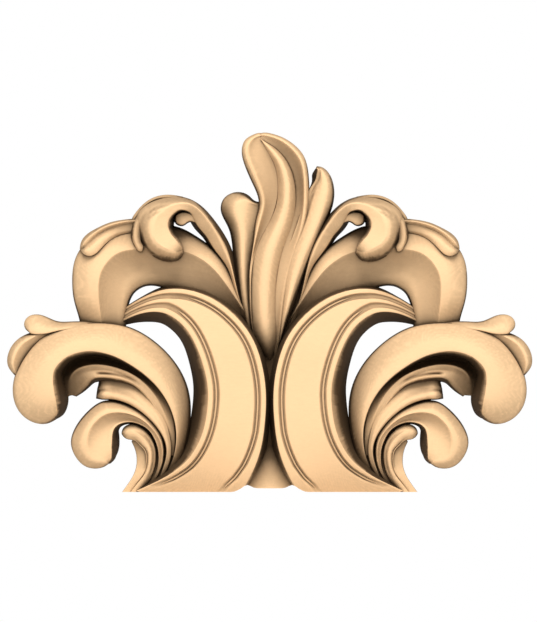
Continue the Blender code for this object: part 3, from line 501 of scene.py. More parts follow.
# A tendril and a thin sliver inside the small leaf.
TENDRIL = {
    "rails": (
        ((-79, -4), (-73, 5), (-69.6, 12), (-68.1, 20), (-68.8, 27.5), (-72, 34.3), (-77, 38.9),
         (-82.4, 40.9), (-86.3, 39.8), (-88.4, 37.5), (-88.9, 35.5)),
        ((-83, -4), (-77.3, 4.8), (-72.8, 12), (-71.2, 19.6), (-71.8, 25.8), (-74.8, 31),
         (-79, 34.6), (-83.4, 36.2), (-86.5, 36.2), (-88.2, 35.7), (-88.9, 35.2)),
        ((-87.5, -4), (-81.5, 4), (-76, 11.5), (-74.3, 19), (-75, 24.4), (-77.6, 27.6),
         (-80.6, 30.4), (-83.6, 31.3), (-86.2, 32), (-88.1, 33.6), (-88.85, 34.9)),
    ),
    "heights": (
        (3, 4, 6, 7, 8, 8.5, 9, 9, 9, 8.5, 8),
        (5, 7, 9, 11, 12, 12.5, 13, 12.5, 11.5, 10, 9),
        (4, 6, 8, 9.5, 10.5, 10.5, 10, 10, 9.5, 8.5, 8),
    ),
    "spans": ("swell", "roll"),
    "lines": (
        {"rail": 1, "places": (0.22, 0.34, 0.55, 0.7, 0.84), "offsets": (-1.2, -1.3, -1.4, -1.4, -1.2),
         "depths": (0, 1.2, 1.5, 1.4, 0), "widths": (0.6, 0.7, 0.8, 0.8, 0.6)},
        {"rail": 2, "places": (0.1, 0.3, 0.5, 0.7, 0.8), "offsets": (-0.9, -1, -1, -1, -0.9),
         "depths": (1, 1.3, 1.4, 1.2, 0), "widths": (0.45, 0.5, 0.5, 0.5, 0.45)},
    ),
}
SLIVER = {
    "rails": (
        ((-85, -4), (-79.6, 5), (-74.8, 12), (-72.8, 18.5), (-73.4, 24), (-77, 29.2),
         (-82.4, 31.2)),
        ((-91.5, -4), (-85, 5), (-81.7, 10.5), (-80, 16), (-79.9, 21), (-81, 26),
         (-82.9, 30.2)),
    ),
    "heights": (
        (4, 6, 8, 8.5, 9, 8.5, 8.5),
        (4, 5.5, 6.5, 6.5, 6.5, 6.5, 6.5),
    ),
    "spans": ("flat",),
}

# The tall leaf in the middle leans to the left. Its midrib ends in a point between the scrolls.
TALL_LEFT = {
    "rails": (
        ((-4, 78), (-10.8, 97), (-12.9, 115), (-12.6, 133), (-10.4, 150), (-8.4, 164), (-6.7, 175),
         (-10.8, 186), (-15.2, 196.5), (-16.8, 204.5), (-14.8, 211.2), (-10.2, 214.3),
         (-5.8, 215.5), (-2, 214.2)),
        ((-3.4, 78), (-10.3, 97), (-12, 115), (-11.7, 133), (-8.8, 150), (-5.4, 164), (-3.6, 175),
         (-7, 186), (-11.4, 196.5), (-13.4, 203.6), (-12.1, 209.4), (-9, 212.6),
         (-5.4, 213.8), (-2.2, 213.2)),
        ((-2.8, 78), (-9.8, 97), (-11, 115), (-10.6, 133), (-6, 150), (0.9, 164), (4.4, 176),
         (4.9, 187), (2.6, 197.5), (-1.4, 205), (-3.8, 209.4), (-4.6, 211.4), (-4.2, 212.2),
         (-2.4, 212.6)),
    ),
    "heights": (
        (8, 10.5, 11, 12, 13.5, 13.5, 12.5, 12.5, 13, 14, 14, 13, 12, 10),
        (9, 13.5, 14.8, 15.8, 17, 17.4, 17.4, 18, 18, 17.6, 16.8, 15.6, 13.8, 11),
        (9, 14, 16, 16.2, 15.4, 15, 14.8, 14.8, 14.8, 14.8, 14.6, 14.2, 12.9, 10),
    ),
    "spans": ("swell", "dish"),
    "soft": (1.5, 0.8),
}
TALL_RIGHT = {
    "rails": (
        ((2.4, 78), (3.4, 97), (3.3, 115), (5, 133), (9.2, 150), (13.8, 164), (15.2, 177),
         (14, 188), (9.8, 197.6), (3.8, 204.6), (-1.4, 208.4), (-5, 210.8), (-7.6, 211.6),
         (-9.4, 211.4)),
        ((3.4, 78), (5.6, 97), (7.4, 115), (10.8, 133), (16, 150), (19.6, 164), (20.8, 177),
         (20.6, 188.5), (18.2, 199.4), (12.8, 206.4), (6.6, 211), (0.2, 213.4), (-5.2, 213.9),
         (-9.4, 212)),
        ((4.2, 78), (7.4, 97), (10.5, 115), (14.5, 133), (19.6, 150), (22.6, 164), (23.8, 177),
         (23.4, 190), (20.6, 201.4), (14.8, 208.3), (8, 212.7), (1.4, 215), (-4.8, 215.5),
         (-9.2, 213.2)),
    ),
    "heights": (
        (9, 14, 16, 16.4, 15.8, 15.2, 14.6, 14.2, 14.2, 14.3, 14.4, 14.2, 12.9, 10),
        (10, 15, 17, 17.3, 17.5, 17.7, 17.9, 18, 17.7, 17.3, 16.6, 15.6, 13.8, 11),
        (7, 12, 14, 15, 15.8, 15.6, 15, 14.4, 14, 14, 14, 13, 12, 10),
    ),
    "spans": ("rise", "roll"),
    "soft": (0.8, 1.5),
}
MIDRIB = {
    "rails": (
        ((-1.6, 79.4), (-9.4, 93), (-11, 105), (-11.3, 120), (-10.4, 135), (-6.6, 149.5),
         (-0.6, 161.5), (3.8, 173), (4.6, 185), (2.6, 196), (-2.2, 205.2), (-5.6, 211.4)),
        ((0, 80), (-2.4, 93), (-3.2, 105), (-3.2, 120), (-1.6, 135), (2.2, 150), (7, 162),
         (10, 174), (10.2, 186), (6.9, 197.2), (0.4, 206), (-5.5, 211.7)),
        ((1.6, 79.4), (4.6, 92.6), (4.2, 105), (4.2, 120), (6, 135), (10, 150), (14, 162),
         (15.9, 175), (15, 187), (11, 198), (3.2, 206.8), (-5.3, 212)),
    ),
    "heights": (
        (7, 12, 14, 15, 15, 15, 14.6, 14.2, 14.2, 14.2, 14, 13.5),
        (9, 18, 20.5, 21.5, 22, 22, 21.5, 21.5, 21, 20, 17.5, 15),
        (7, 12, 14, 15, 15, 15, 14.6, 14.2, 14.2, 14.2, 14, 13.5),
    ),
    "spans": ("swell", "roll"),
    "soft": (0.5, 0.5),
}
LEFT_LOBE = {
    "rails": (
        ((-15, 98), (-18.2, 112), (-20.4, 128), (-22, 144), (-24.8, 159), (-29.2, 169.5),
         (-28, 175), (-23.2, 179), (-17.6, 179.7), (-12.6, 177.6), (-9.2, 174.5), (-5.6, 173.6)),
        ((-12, 96), (-14, 112), (-15.6, 128), (-16.2, 144), (-17, 159), (-19, 167.6),
         (-19, 171.4), (-17.2, 173.8), (-14.8, 174.8), (-11.8, 174), (-9, 173), (-5.5, 172.4)),
        ((-9.6, 96), (-11, 112), (-11, 128), (-9.8, 144), (-8.2, 156), (-7.2, 163),
         (-6.8, 166), (-6.6, 168), (-6.4, 169.4), (-6.2, 170.4), (-5.9, 171), (-5.4, 171.4)),
    ),
    "heights": (
        (5, 6, 6.5, 6.5, 6, 5.5, 5.5, 5.5, 6, 7, 8.5, 9),
        (11.5, 14.3, 15.2, 15.6, 15.6, 15.4, 15, 14.5, 14, 13.4, 12.4, 10.6),
        (10, 10.5, 10.7, 11.5, 12, 12, 11.8, 11.6, 11.4, 11.2, 11, 10.4),
    ),
    "spans": ("swell", "cove"),
    "soft": (1.3, 0.6),
    "walls": (0.05, 0.0),
}
RIGHT_LOBE = {
    "rails": (
        ((3.2, 88), (4.6, 106), (6, 124), (9.6, 142), (14.6, 156), (18.4, 167.6), (21.4, 177),
         (25.2, 183.8), (27.6, 188), (28.1, 191.4), (28, 193.6)),
        ((6, 90), (9.8, 107), (14.2, 125), (20, 142), (26, 156.6), (30.4, 168.4), (33, 178.2),
         (33.4, 185), (31.9, 190.2), (30.1, 193), (28.2, 194.1)),
        ((9, 96), (13.4, 109), (18.4, 125), (24.6, 142.4), (31, 157.4), (35.9, 168.6),
         (37.9, 178), (36.9, 186.4), (33.6, 192.4), (30.4, 194.5), (28.2, 194.8)),
    ),
    "heights": (
        (9, 12.5, 14.5, 15.4, 15.9, 15.8, 15.3, 14.6, 14, 13.5, 12),
        (12, 18, 19.5, 20.3, 20.6, 20.4, 19.8, 18.8, 17.4, 15.8, 13.5),
        (6, 10.5, 13.5, 15.5, 16.5, 16.5, 16.2, 15.6, 14.6, 13.6, 12.4),
    ),
    "spans": ("cove", "roll"),
    "lines": (
        {"rail": 0, "places": (0.5, 0.6, 0.72, 0.82, 0.88), "offsets": (3.4, 3.8, 4.2, 4, 2.6),
         "depths": (0, 0.9, 1.6, 1.8, 1), "widths": (0.9, 1, 1.1, 1, 0.8)},
    ),
    "soft": (0.8, 1.5),
    "walls": ((0.0, 0.0, 0.0, 0.0, 0.0, 0.0, 0.0, 0.05, 0.18, 0.18, 0.08), 0.06),
}

# The low leaf between the scrolls' feet.
FOOT_LEAF = {
    "rails": (
        ((-1, 30), (-9.5, 20), (-17, 9), (-23, -4)),
        ((0, 30), (0, 20), (0, 9), (0, -4)),
        ((1, 30), (9.5, 20), (17, 9), (23, -4)),
    ),
    "heights": (
        (4, 9, 12, 12),
        (6, 12, 15, 15),
        (4, 9, 12, 12),
    ),
    "spans": ("swell", "roll"),
}

# The low floor of the crease between the two scrolls.
CREASE = {
    "rails": (
        ((-23, 134), (-15, 108), (-7, 82), (-5, 60), (-6, 40), (-9, 20)),
        ((23, 134), (15, 108), (7, 82), (5, 60), (6, 40), (9, 20)),
    ),
    "heights": (
        (6, 7, 8, 8, 8, 7),
        (6, 7, 8, 8, 8, 7),
    ),
    "spans": ("flat",),
}

# The foot is cut flat, and rises in a shallow wave under the low leaf.
WAVE_HALF_WIDTH = 23.0
WAVE_SHOULDER = 8.0
WAVE_RISE = 2.2
WAVE_PEAK_PLACE = 13.4
WAVE_PEAK_RISE = 2.0
WAVE_PEAK_WIDTH = 3.0
WAVE_STEPS = 24

SIDE_STRANDS = (
    SCROLL, UPPER_SCROLL, TURNED_EDGE, CURL, HOOD_FOLD, CURL_RIM, KNOB_NECK, GREAT_LEAF, SIDE_LOBE,
    TOP_LOBE, FRINGE_UPPER, FRINGE_LOWER, SMALL_LEAF, TENDRIL, SLIVER, ROOT_WEB,
)
MIDDLE_STRANDS = (TALL_LEFT, TALL_RIGHT, MIDRIB, LEFT_LOBE, RIGHT_LOBE, FOOT_LEAF, CREASE)

# The height map that the recesses for the painted shade are read from: its pitch, its margin, and its
# height off the crest.
MAP_PITCH = 0.5
MAP_MARGIN = 4.0
MAP_EMPTY = -60.0
# How many ways it is searched from each point, how far, and how much a tilted face is made up for.
SEARCH_TURNS = 20
SEARCH_REACHES = (0.5, 0.9, 1.4, 2.0, 3.0, 4.5, 6.5, 9.0, 13.0, 19.0, 27.0)
TILT_SHARE = 0.4
# The same in front of a wall, what counts as a wall, and how much painted shade a shut-in one gets.
WALL_TURNS = (-0.9, -0.5, 0.0, 0.5, 0.9)
WALL_REACHES = (4.0, 7.0, 11.0, 16.0, 22.0, 30.0, 38.0, 46.0)
WALL_FACING = (0.3, 0.45)
WALL_SHADE = 0.85

# The view of the picture, which is 537 by 622 pixels.
VIEW_HEIGHT_PX = 622
MM_PER_PX = 0.6
VIEW_CENTRE = (-0.72, 108.6)
VIEW_DISTANCE = 2.0


def smooth_step(value):
    """A smooth rise from 0 to 1."""
    value = np.clip(value, 0.0, 1.0)
    return value * value * (3.0 - 2.0 * value)


def natural_spline(values, knots, places):
    """Smooth curve through values at the knots, read at the given places."""
    count = len(knots)
    steps = np.diff(knots)
    slopes = np.diff(values, axis=0) / steps[:, None]
    system = np.zeros((count, count))
    target = np.zeros_like(values)
    system[0, 0] = 1.0
    system[-1, -1] = 1.0
    for i in range(1, count - 1):
        system[i, i - 1] = steps[i - 1]
        system[i, i] = 2.0 * (steps[i - 1] + steps[i])
        system[i, i + 1] = steps[i]
        target[i] = 6.0 * (slopes[i] - slopes[i - 1])
    curvature = np.linalg.solve(system, target)
    spans = np.clip(np.searchsorted(knots, places, side="right") - 1, 0, count - 2)
    width = steps[spans][:, None]
    a = (knots[spans + 1] - places)[:, None] / width
    b = 1.0 - a
    bend = ((a ** 3 - a) * curvature[spans] + (b ** 3 - b) * curvature[spans + 1]) * width ** 2 / 6.0
    return a * values[spans] + b * values[spans + 1] + bend


def sampled_rails(strand, spacing):
    """Every rail at evenly spread stations, as (rail, station, (x, z, height, lean))."""
    plan = np.array(strand["rails"], dtype=float)
    heights = np.array(strand["heights"], dtype=float)[:, :, None]
    leans = np.zeros_like(heights)
    leans[0, :, 0], leans[-1, :, 0] = strand.get("walls", PLUMB_WALLS)
    table = np.concatenate((plan, heights, leans), axis=2)
    chords = np.linalg.norm(np.diff(plan, axis=1), axis=2).max(axis=0)
    knots = np.concatenate(([0.0], np.cumsum(chords)))
    stations = int(math.ceil(knots[-1] / spacing)) + 1
    places = np.linspace(0.0, knots[-1], stations)
    return np.array([natural_spline(rail, knots, places) for rail in table])


def carve_share(shape, share):
    """How far the height has gone from one rail to the next, at a share of the way."""
    if shape == "swell":
        return np.sin(share * math.pi / 2.0)
    if shape == "roll":
        return 1.0 - np.cos(share * math.pi / 2.0)
    if shape == "hollow":
        return 1.0 - (1.0 - share) ** 2
    if shape == "cove":
        return smooth_step(share)
    if shape == "dish":
        return (1.0 + DISH_DIP) * (1.0 - (1.0 - share) ** 2) - DISH_DIP * share ** 2
    if shape == "rise":
        return 1.0 - carve_share("dish", 1.0 - share)
    return share


def edge_radii(strand, radius):
    """Radii of the first and the last edge of a strand."""
    first, last = strand.get("soft", (1.0, 1.0))
    return first * radius, last * radius


def near_scale(rows, whole):
    """How much the rows beside an edge are drawn together where the strand is narrow."""
    return np.minimum(1.0, NEAR_SHARE * whole / max(rows))


def rows_beside(strand, radius, width):
    """Shares of the rows beside an edge: close together over its rounding or its groove."""
    rows_near = strand.get("near_rows", tuple(share * radius for share in EASED_ROWS))
    return np.array(rows_near)[:, None] * near_scale(rows_near, width) / np.maximum(width, LEAST_WIDTH)


def groove_drift(strand, rail, stations):
    """How much further in the rows beside a rail lie, to follow a groove that drifts inwards."""
    place = np.linspace(0.0, 1.0, stations)
    for line in strand.get("lines", ()):
        if "bead" in line and line["rail"] == rail:
            return np.abs(np.interp(place, line["places"], line["offsets"])) / GROOVE_OFFSET
    return np.ones(stations)


def row_shares(strand, rails, spacing, radius):
    """For each span, the shares of its rows at every station, without the first rail's."""
    count = len(strand["spans"])
    first_radius, last_radius = edge_radii(strand, radius)
    widths = np.linalg.norm(np.diff(rails[:, :, :2], axis=0), axis=2)
    result = []
    for index in range(count):
        width = widths[index]
        near_first = rows_beside(strand, first_radius, width) * groove_drift(strand, 0, len(width))
        near_last = rows_beside(strand, last_radius, width) * groove_drift(strand, count, len(width))
        steps = max(LEAST_ROWS, int(math.ceil(np.percentile(width, WIDTH_PERCENTAGE) / spacing)))
        parts = []
        start = np.zeros((1, len(width)))
        finish = np.ones((1, len(width)))
        if index == 0:
            parts.append(near_first)
            start = near_first[-1:]
        if index == count - 1:
            finish = 1.0 - near_last[-1:]
        even = start + (finish - start) * np.linspace(0.0, 1.0, steps + 1)[:, None]
        parts.append(even[1:])
        if index == count - 1:
            parts.append(1.0 - near_last[-2::-1])
            parts.append(np.ones((1, len(width))))
        result.append(np.concatenate(parts))
    return result


def ease(distance, radius):
    """How far a rounded edge has dropped, at a distance from it."""
    inside = np.clip(1.0 - distance / np.maximum(radius, LEAST_WIDTH), 0.0, 1.0)
    return radius * (1.0 - np.sqrt(1.0 - inside ** 2))


def distance_across(surface):
    """How far each point lies from the first edge of its strand, across the surface."""
    steps = np.linalg.norm(np.diff(surface[:, :, :2], axis=0), axis=2)
    return np.concatenate((np.zeros((1, steps.shape[1])), np.cumsum(steps, axis=0)))


def carved_line(strand, line, along_row, marks):
    """Distance from a carved line, and its depth, over the whole surface of a strand."""
    place = np.linspace(0.0, 1.0, along_row.shape[1])
    offset = np.interp(place, line["places"], line["offsets"])
    depth = np.interp(place, line["places"], line["depths"])
    width = np.interp(place, line["places"], line["widths"])
    if "near_rows" in strand:
        scale = near_scale(strand["near_rows"], along_row[-1])
        offset = offset * scale
        width = width * scale
    distance = along_row - along_row[marks[line["rail"]]] - offset
    return distance, depth, np.maximum(width, LEAST_LINE_WIDTH)


def carved_surface(strand, spacing, radius):
    """The carved surface as (across, station, (x, z, height, lean)), with its lines and edges."""
    rails = sampled_rails(strand, spacing)
    shares = row_shares(strand, rails, spacing, radius)
    rows = [rails[0]]
    marks = [0]
    for index, shape in enumerate(strand["spans"]):
        first = rails[index]
        second = rails[index + 1]
        for share in shares[index]:
            row = first + (second - first) * share[:, None]
            row[:, 2] = first[:, 2] + (second[:, 2] - first[:, 2]) * carve_share(shape, share)
            rows.append(row)
        marks.append(len(rows) - 1)
    surface = np.array(rows)
    along_row = distance_across(surface)
    cut = np.zeros_like(along_row)
    for line in strand.get("lines", ()):
        distance, depth, width = carved_line(strand, line, along_row, marks)
        cut += depth * np.exp(-np.abs(distance / width) ** line.get("power", ROUND_POWER))
    whole = along_row[-1]
    first_radius, last_radius = edge_radii(strand, radius)
    cut += ease(along_row, np.minimum(first_radius, whole * EASE_SHARE))
    cut += ease(whole - along_row, np.minimum(last_radius, whole * EASE_SHARE))
    surface[:, :, 2] -= cut
    return surface


def wall_foot(edge, inside, overrun):
    """Where the wall under an edge comes out behind the back."""
    along = np.gradient(edge[:, :2], axis=0)
    out = np.stack((along[:, 1], -along[:, 0]), axis=1)
    out /= np.maximum(np.linalg.norm(out, axis=1), LEAST_STEP)[:, None]
    away = edge[:, :2] - inside[:, :2]
    side = np.sign((out * away).sum())
    return edge[:, :2] + out * (side * edge[:, 3] * (edge[:, 2] + overrun))[:, None]


def wall_rows(edge, inside, overrun):
    """Rows of points down the wall under an edge, the last of them behind the back."""
    foot = np.column_stack((wall_foot(edge, inside, LEAN_END), np.full(len(edge), -LEAN_END)))
    steps = WALL_STEPS if edge[:, 3].max() > WALL_LEAN else 1
    rows = [edge[:, :3] + (foot - edge[:, :3]) * (step + 1) / steps for step in range(steps)]
    rows.append(np.column_stack((foot[:, :2], np.full(len(edge), -overrun))))
    return rows


def to_metres(points, flip):
    """Places of (x, z, height) in millimetres as places in the frame, in metres."""
    x = flip * points[..., 0]
    y = -points[..., 2]
    z = points[..., 1] - MOUNT_HEIGHT
    return np.stack((x, y, z), axis=-1) * MM


def new_object(name, mesh):
    """An object made of a bmesh, which is freed."""
    data = bpy.data.meshes.new(name)
    mesh.to_mesh(data)
    mesh.free()
    made = bpy.data.objects.new(name, data)
    bpy.context.scene.collection.objects.link(made)
    return made


def quads_between(first, second):
    """Faces between two rows of point numbers."""
    return np.stack((first[:-1], second[:-1], second[1:], first[1:]), axis=1).tolist()


def strand_object(strand, mirrored, overrun, spacing, radius):
    """A closed solid of one strand, run on behind the back."""
    top = carved_surface(strand, spacing, radius)
    left = wall_rows(top[0], top[-1], overrun)
    right = wall_rows(top[-1], top[0], overrun)
    skin = np.array(left[::-1] + list(top[:, :, :3]) + right)
    rows, stations = skin.shape[:2]
    number = np.arange(rows * stations).reshape(rows, stations)
    faces = []
    for i in range(rows - 1):
        faces += quads_between(number[i], number[i + 1])
    faces.append(number[::-1, 0].tolist())
    faces.append(number[:, -1].tolist())
    faces.append(number[0].tolist() + number[-1, ::-1].tolist())
    mesh = bmesh.new()
    places = to_metres(skin.reshape(-1, 3), -1.0 if mirrored else 1.0)
    verts = [mesh.verts.new(place) for place in places]
    for face in faces:
        mesh.faces.new([verts[index] for index in face])
    bmesh.ops.recalc_face_normals(mesh, faces=mesh.faces)
    return new_object("strand", mesh)


def block_object(low, high):
    """A plain block between two corners, in metres."""
    mesh = bmesh.new()
    bmesh.ops.create_cube(mesh, size=1.0)
    for vert in mesh.verts:
        for axis in range(3):
            vert.co[axis] = low[axis] if vert.co[axis] < 0.0 else high[axis]
    return new_object("block", mesh)


def foot_wave(x):
    """How far the foot is cut away above its flat part."""
    shoulder = min(1.0, (WAVE_HALF_WIDTH - abs(x)) / WAVE_SHOULDER)
    peak = math.exp(-((abs(x) - WAVE_PEAK_PLACE) / WAVE_PEAK_WIDTH) ** 2)
    return (WAVE_RISE + WAVE_PEAK_RISE * peak) * math.sin(shoulder * math.pi / 2.0) ** 2


def foot_cutter():
    """Everything below the foot, with the wave under the middle leaf."""
    outline = [(-CUTTER_REACH, 0.0)]
    for step in range(WAVE_STEPS + 1):
        x = (2.0 * step / WAVE_STEPS - 1.0) * WAVE_HALF_WIDTH
        outline.append((x, foot_wave(x)))
    outline.append((CUTTER_REACH, 0.0))
    outline.append((CUTTER_REACH, -FOOT_DROP))
    outline.append((-CUTTER_REACH, -FOOT_DROP))
    mesh = bmesh.new()
    places = [to_metres(np.array((x, z, CUTTER_FRONT)), 1.0) for x, z in outline]
    face = mesh.faces.new([mesh.verts.new(place) for place in places])
    grown = bmesh.ops.extrude_face_region(mesh, geom=[face])
    moved = [item for item in grown["geom"] if isinstance(item, bmesh.types.BMVert)]
    bmesh.ops.translate(mesh, verts=moved, vec=(0.0, (CUTTER_FRONT + CUTTER_BACK) * MM, 0.0))
    bmesh.ops.recalc_face_normals(mesh, faces=mesh.faces)
    return new_object("foot_cutter", mesh)


def boolean_with(base, others, operation):
    """Join or cut with a group of solids, and drop the solids that were used."""
    group = bpy.data.collections.new("group")
    bpy.context.scene.collection.children.link(group)
    for other in others:
        bpy.context.scene.collection.objects.unlink(other)
        group.objects.link(other)
    modifier = base.modifiers.new("carve", "BOOLEAN")
    modifier.operand_type = "COLLECTION"
    modifier.collection = group
    modifier.operation = operation
    modifier.solver = "MANIFOLD"
    graph = bpy.context.evaluated_depsgraph_get()
    result = bpy.data.meshes.new_from_object(base.evaluated_get(graph))
    base.modifiers.remove(modifier)
    base.data = result
    for other in others:
        bpy.data.objects.remove(other)
    bpy.data.collections.remove(group)
    if len(result.polygons) == 0:
        raise RuntimeError("nothing was left after a carving step")


def drop_doubled_faces(mesh):
    """Take away hairline triangles that lie on each other with the same corners."""
    groups = {}
    for face in mesh.faces:
        groups.setdefault(frozenset(face.verts), []).append(face)
    doubled = [face for group in groups.values() if len(group) > 1 for face in group]
    bmesh.ops.delete(mesh, geom=doubled, context="FACES")


def finish_mesh(data):
    """Merge hairline edges, drop doubled faces, and shade the carving smooth."""
    mesh = bmesh.new()
    mesh.from_mesh(data)
    bmesh.ops.remove_doubles(mesh, verts=mesh.verts, dist=WELD)
    bmesh.ops.dissolve_degenerate(mesh, dist=WELD, edges=mesh.edges)
    bmesh.ops.triangulate(mesh, faces=mesh.faces)
    drop_doubled_faces(mesh)
    mesh.to_mesh(data)
    mesh.free()
    data.shade_smooth()
    data.set_sharp_from_angle(angle=SHARP_ANGLE)


def height_map(mesh):
    """The carving's height over a grid seen from the front, in millimetres."""
    tree = BVHTree.FromBMesh(mesh)
    corners = np.array([vert.co for vert in mesh.verts]) / MM
    low = corners.min(axis=0) - MAP_MARGIN
    high = corners.max(axis=0) + MAP_MARGIN
    xs = np.arange(low[0], high[0], MAP_PITCH)
    zs = np.arange(low[2], high[2], MAP_PITCH)
    heights = np.full((len(xs), len(zs)), MAP_EMPTY)
    front = low[1] * MM
    ahead = mathutils.Vector((0.0, 1.0, 0.0))
    for i, x in enumerate(xs):
        for j, z in enumerate(zs):
            hit = tree.ray_cast((x * MM, front, z * MM), ahead)[0]
            if hit is not None:
                heights[i, j] = -hit.y / MM
    return heights, low


def horizon(heights, low, places, angle, reaches):
    """The steepest way up from each place, going out over the map at an angle."""
    steepest = np.zeros(len(places))
    for reach in reaches:
        i = np.rint((places[:, 0] + reach * np.cos(angle) - low[0]) / MAP_PITCH).astype(int)
        j = np.rint((places[:, 2] + reach * np.sin(angle) - low[2]) / MAP_PITCH).astype(int)
        i = np.clip(i, 0, heights.shape[0] - 1)
        j = np.clip(j, 0, heights.shape[1] - 1)
        steepest = np.maximum(steepest, (heights[i, j] + places[:, 1]) / reach)
    return steepest


def store_painted_shade(data):
    """Store how open the crest is, for the painted shade: 0 deep in a recess or on an inner wall, 1 on a
    free face and on the flat back.
    """
    mesh = bmesh.new()
    mesh.from_mesh(data)
    heights, low = height_map(mesh)
    mesh.normal_update()
    places = np.array([vert.co for vert in mesh.verts]) / MM
    normals = np.array([vert.normal for vert in mesh.verts])
    mesh.free()
    sky = np.zeros(len(places))
    for turn in range(SEARCH_TURNS):
        angle = 2.0 * math.pi * turn / SEARCH_TURNS
        sky += 1.0 / (1.0 + horizon(heights, low, places, angle, SEARCH_REACHES) ** 2)
    facing = np.clip(-normals[:, 1], 0.0, 1.0)
    share = np.minimum(1.0, sky / SEARCH_TURNS / (0.5 * (1.0 + facing)) ** TILT_SHARE)
    outward = np.arctan2(normals[:, 2], normals[:, 0])
    clear = np.zeros(len(places))
    for turn in WALL_TURNS:
        steepest = horizon(heights, low, places, outward + turn, WALL_REACHES)
        clear += (steepest <= 0.0) / len(WALL_TURNS)
    upright = 1.0 - smooth_step((facing - WALL_FACING[0]) / (WALL_FACING[1] - WALL_FACING[0]))
    # Painted shade: walls that face other parts of the carving are darkened further.
    share *= 1.0 - upright * (1.0 - clear) * WALL_SHADE
    corner_points = np.zeros(len(data.loops), dtype=np.int32)
    data.loops.foreach_get("vertex_index", corner_points)
    at_corners = share[corner_points]
    # The flat back is left without painted shade.
    for face in data.polygons:
        if face.normal.y > BACK_FACING:
            at_corners[face.loop_start:face.loop_start + face.loop_total] = 1.0
    # The wood's material reads this as painted shade.
    attribute = data.attributes.new("painted_shade_openness", "FLOAT", "CORNER")
    attribute.data.foreach_set("value", at_corners.astype(np.float32))


def named_input(tree, name, kind, default=None):
    """A named input of a node tree. Its default, where it has one, is set too."""
    socket = tree.interface.new_socket(name=name, in_out="INPUT", socket_type=kind)
    if default is not None:
        socket.default_value = default
    return socket


def bead_tree():
    """Geometry Nodes that sweep a round bead along a line and give it its material."""
    tree = bpy.data.node_groups.new("groove_bead", "GeometryNodeTree")
    named_input(tree, "Line", "NodeSocketGeometry")
    named_input(tree, "Bead Radius", "NodeSocketFloat", BEAD_RADIUS * MM)
    named_input(tree, "Bead Sides", "NodeSocketInt", BEAD_SIDES)
    named_input(tree, "Wood", "NodeSocketMaterial")
    tree.interface.new_socket(name="Bead", in_out="OUTPUT", socket_type="NodeSocketGeometry")
    given = tree.nodes.new("NodeGroupInput")
    result = tree.nodes.new("NodeGroupOutput")
    profile = tree.nodes.new("GeometryNodeCurvePrimitiveCircle")
    thickness = tree.nodes.new("GeometryNodeInputRadius")
    sweep = tree.nodes.new("GeometryNodeCurveToMesh")
    sweep.inputs["Fill Caps"].default_value = True
    real = tree.nodes.new("GeometryNodeRealizeInstances")
    finish = tree.nodes.new("GeometryNodeSetMaterial")
    links = tree.links
    links.new(given.outputs["Bead Radius"], profile.inputs["Radius"])
    links.new(given.outputs["Bead Sides"], profile.inputs["Resolution"])
    links.new(given.outputs["Line"], sweep.inputs["Curve"])
    links.new(profile.outputs["Curve"], sweep.inputs["Profile Curve"])
    links.new(thickness.outputs["Radius"], sweep.inputs["Scale"])
    links.new(sweep.outputs["Mesh"], real.inputs["Geometry"])
    links.new(real.outputs["Geometry"], finish.inputs["Geometry"])
    links.new(given.outputs["Wood"], finish.inputs["Material"])
    links.new(finish.outputs["Geometry"], result.inputs["Bead"])
    return tree


def set_input(modifier, name, value):
    """Set a Geometry Nodes input by the identifier of its socket."""
    for item in modifier.node_group.interface.items_tree:
        if item.item_type == "SOCKET" and item.in_out == "INPUT" and item.name == name:
            modifier[item.identifier] = value
            return
    raise RuntimeError("the node tree has no input named " + name)


def groove_line(strand, line, spacing, radius):
    """The middle of a groove, a little above its floor, as places in millimetres."""
    surface = carved_surface(strand, spacing, radius)
    along_row = distance_across(surface)
    marks = (0, surface.shape[0] - 1)
    distance = carved_line(strand, line, along_row, marks)[0]
    middle = [[np.interp(0.0, distance[:, station], surface[:, station, axis]) for axis in range(3)]
              for station in range(surface.shape[1])]
    return np.array(middle) + np.array((0.0, 0.0, BEAD_LIFT))


def bead_object(name, places, tree, radius, wood):
    """A bead swept along a line by Geometry Nodes, as a plain mesh."""
    count = len(places)
    curve = bpy.data.curves.new(name + "_line", "CURVE")
    curve.dimensions = "3D"
    spline = curve.splines.new("POLY")
    spline.points.add(count - 1)
    for number, (point, place) in enumerate(zip(spline.points, places)):
        point.co = (place[0], place[1], place[2], 1.0)
        point.radius = min(1.0, BEAD_TIP + min(number, count - 1 - number) / BEAD_TAPER_POINTS)
    line = bpy.data.objects.new(name + "_line", curve)
    bpy.context.scene.collection.objects.link(line)
    modifier = line.modifiers.new("bead", "NODES")
    modifier.node_group = tree
    set_input(modifier, "Bead Radius", radius)
    set_input(modifier, "Bead Sides", BEAD_SIDES)
    set_input(modifier, "Wood", wood)
    graph = bpy.context.evaluated_depsgraph_get()
    data = bpy.data.meshes.new_from_object(line.evaluated_get(graph))
    line.modifiers.remove(modifier)
    bpy.data.objects.remove(line)
    mesh = bmesh.new()
    mesh.from_mesh(data)
    bmesh.ops.remove_doubles(mesh, verts=mesh.verts, dist=WELD)
    bmesh.ops.recalc_face_normals(mesh, faces=mesh.faces)
    return new_object(name, mesh)


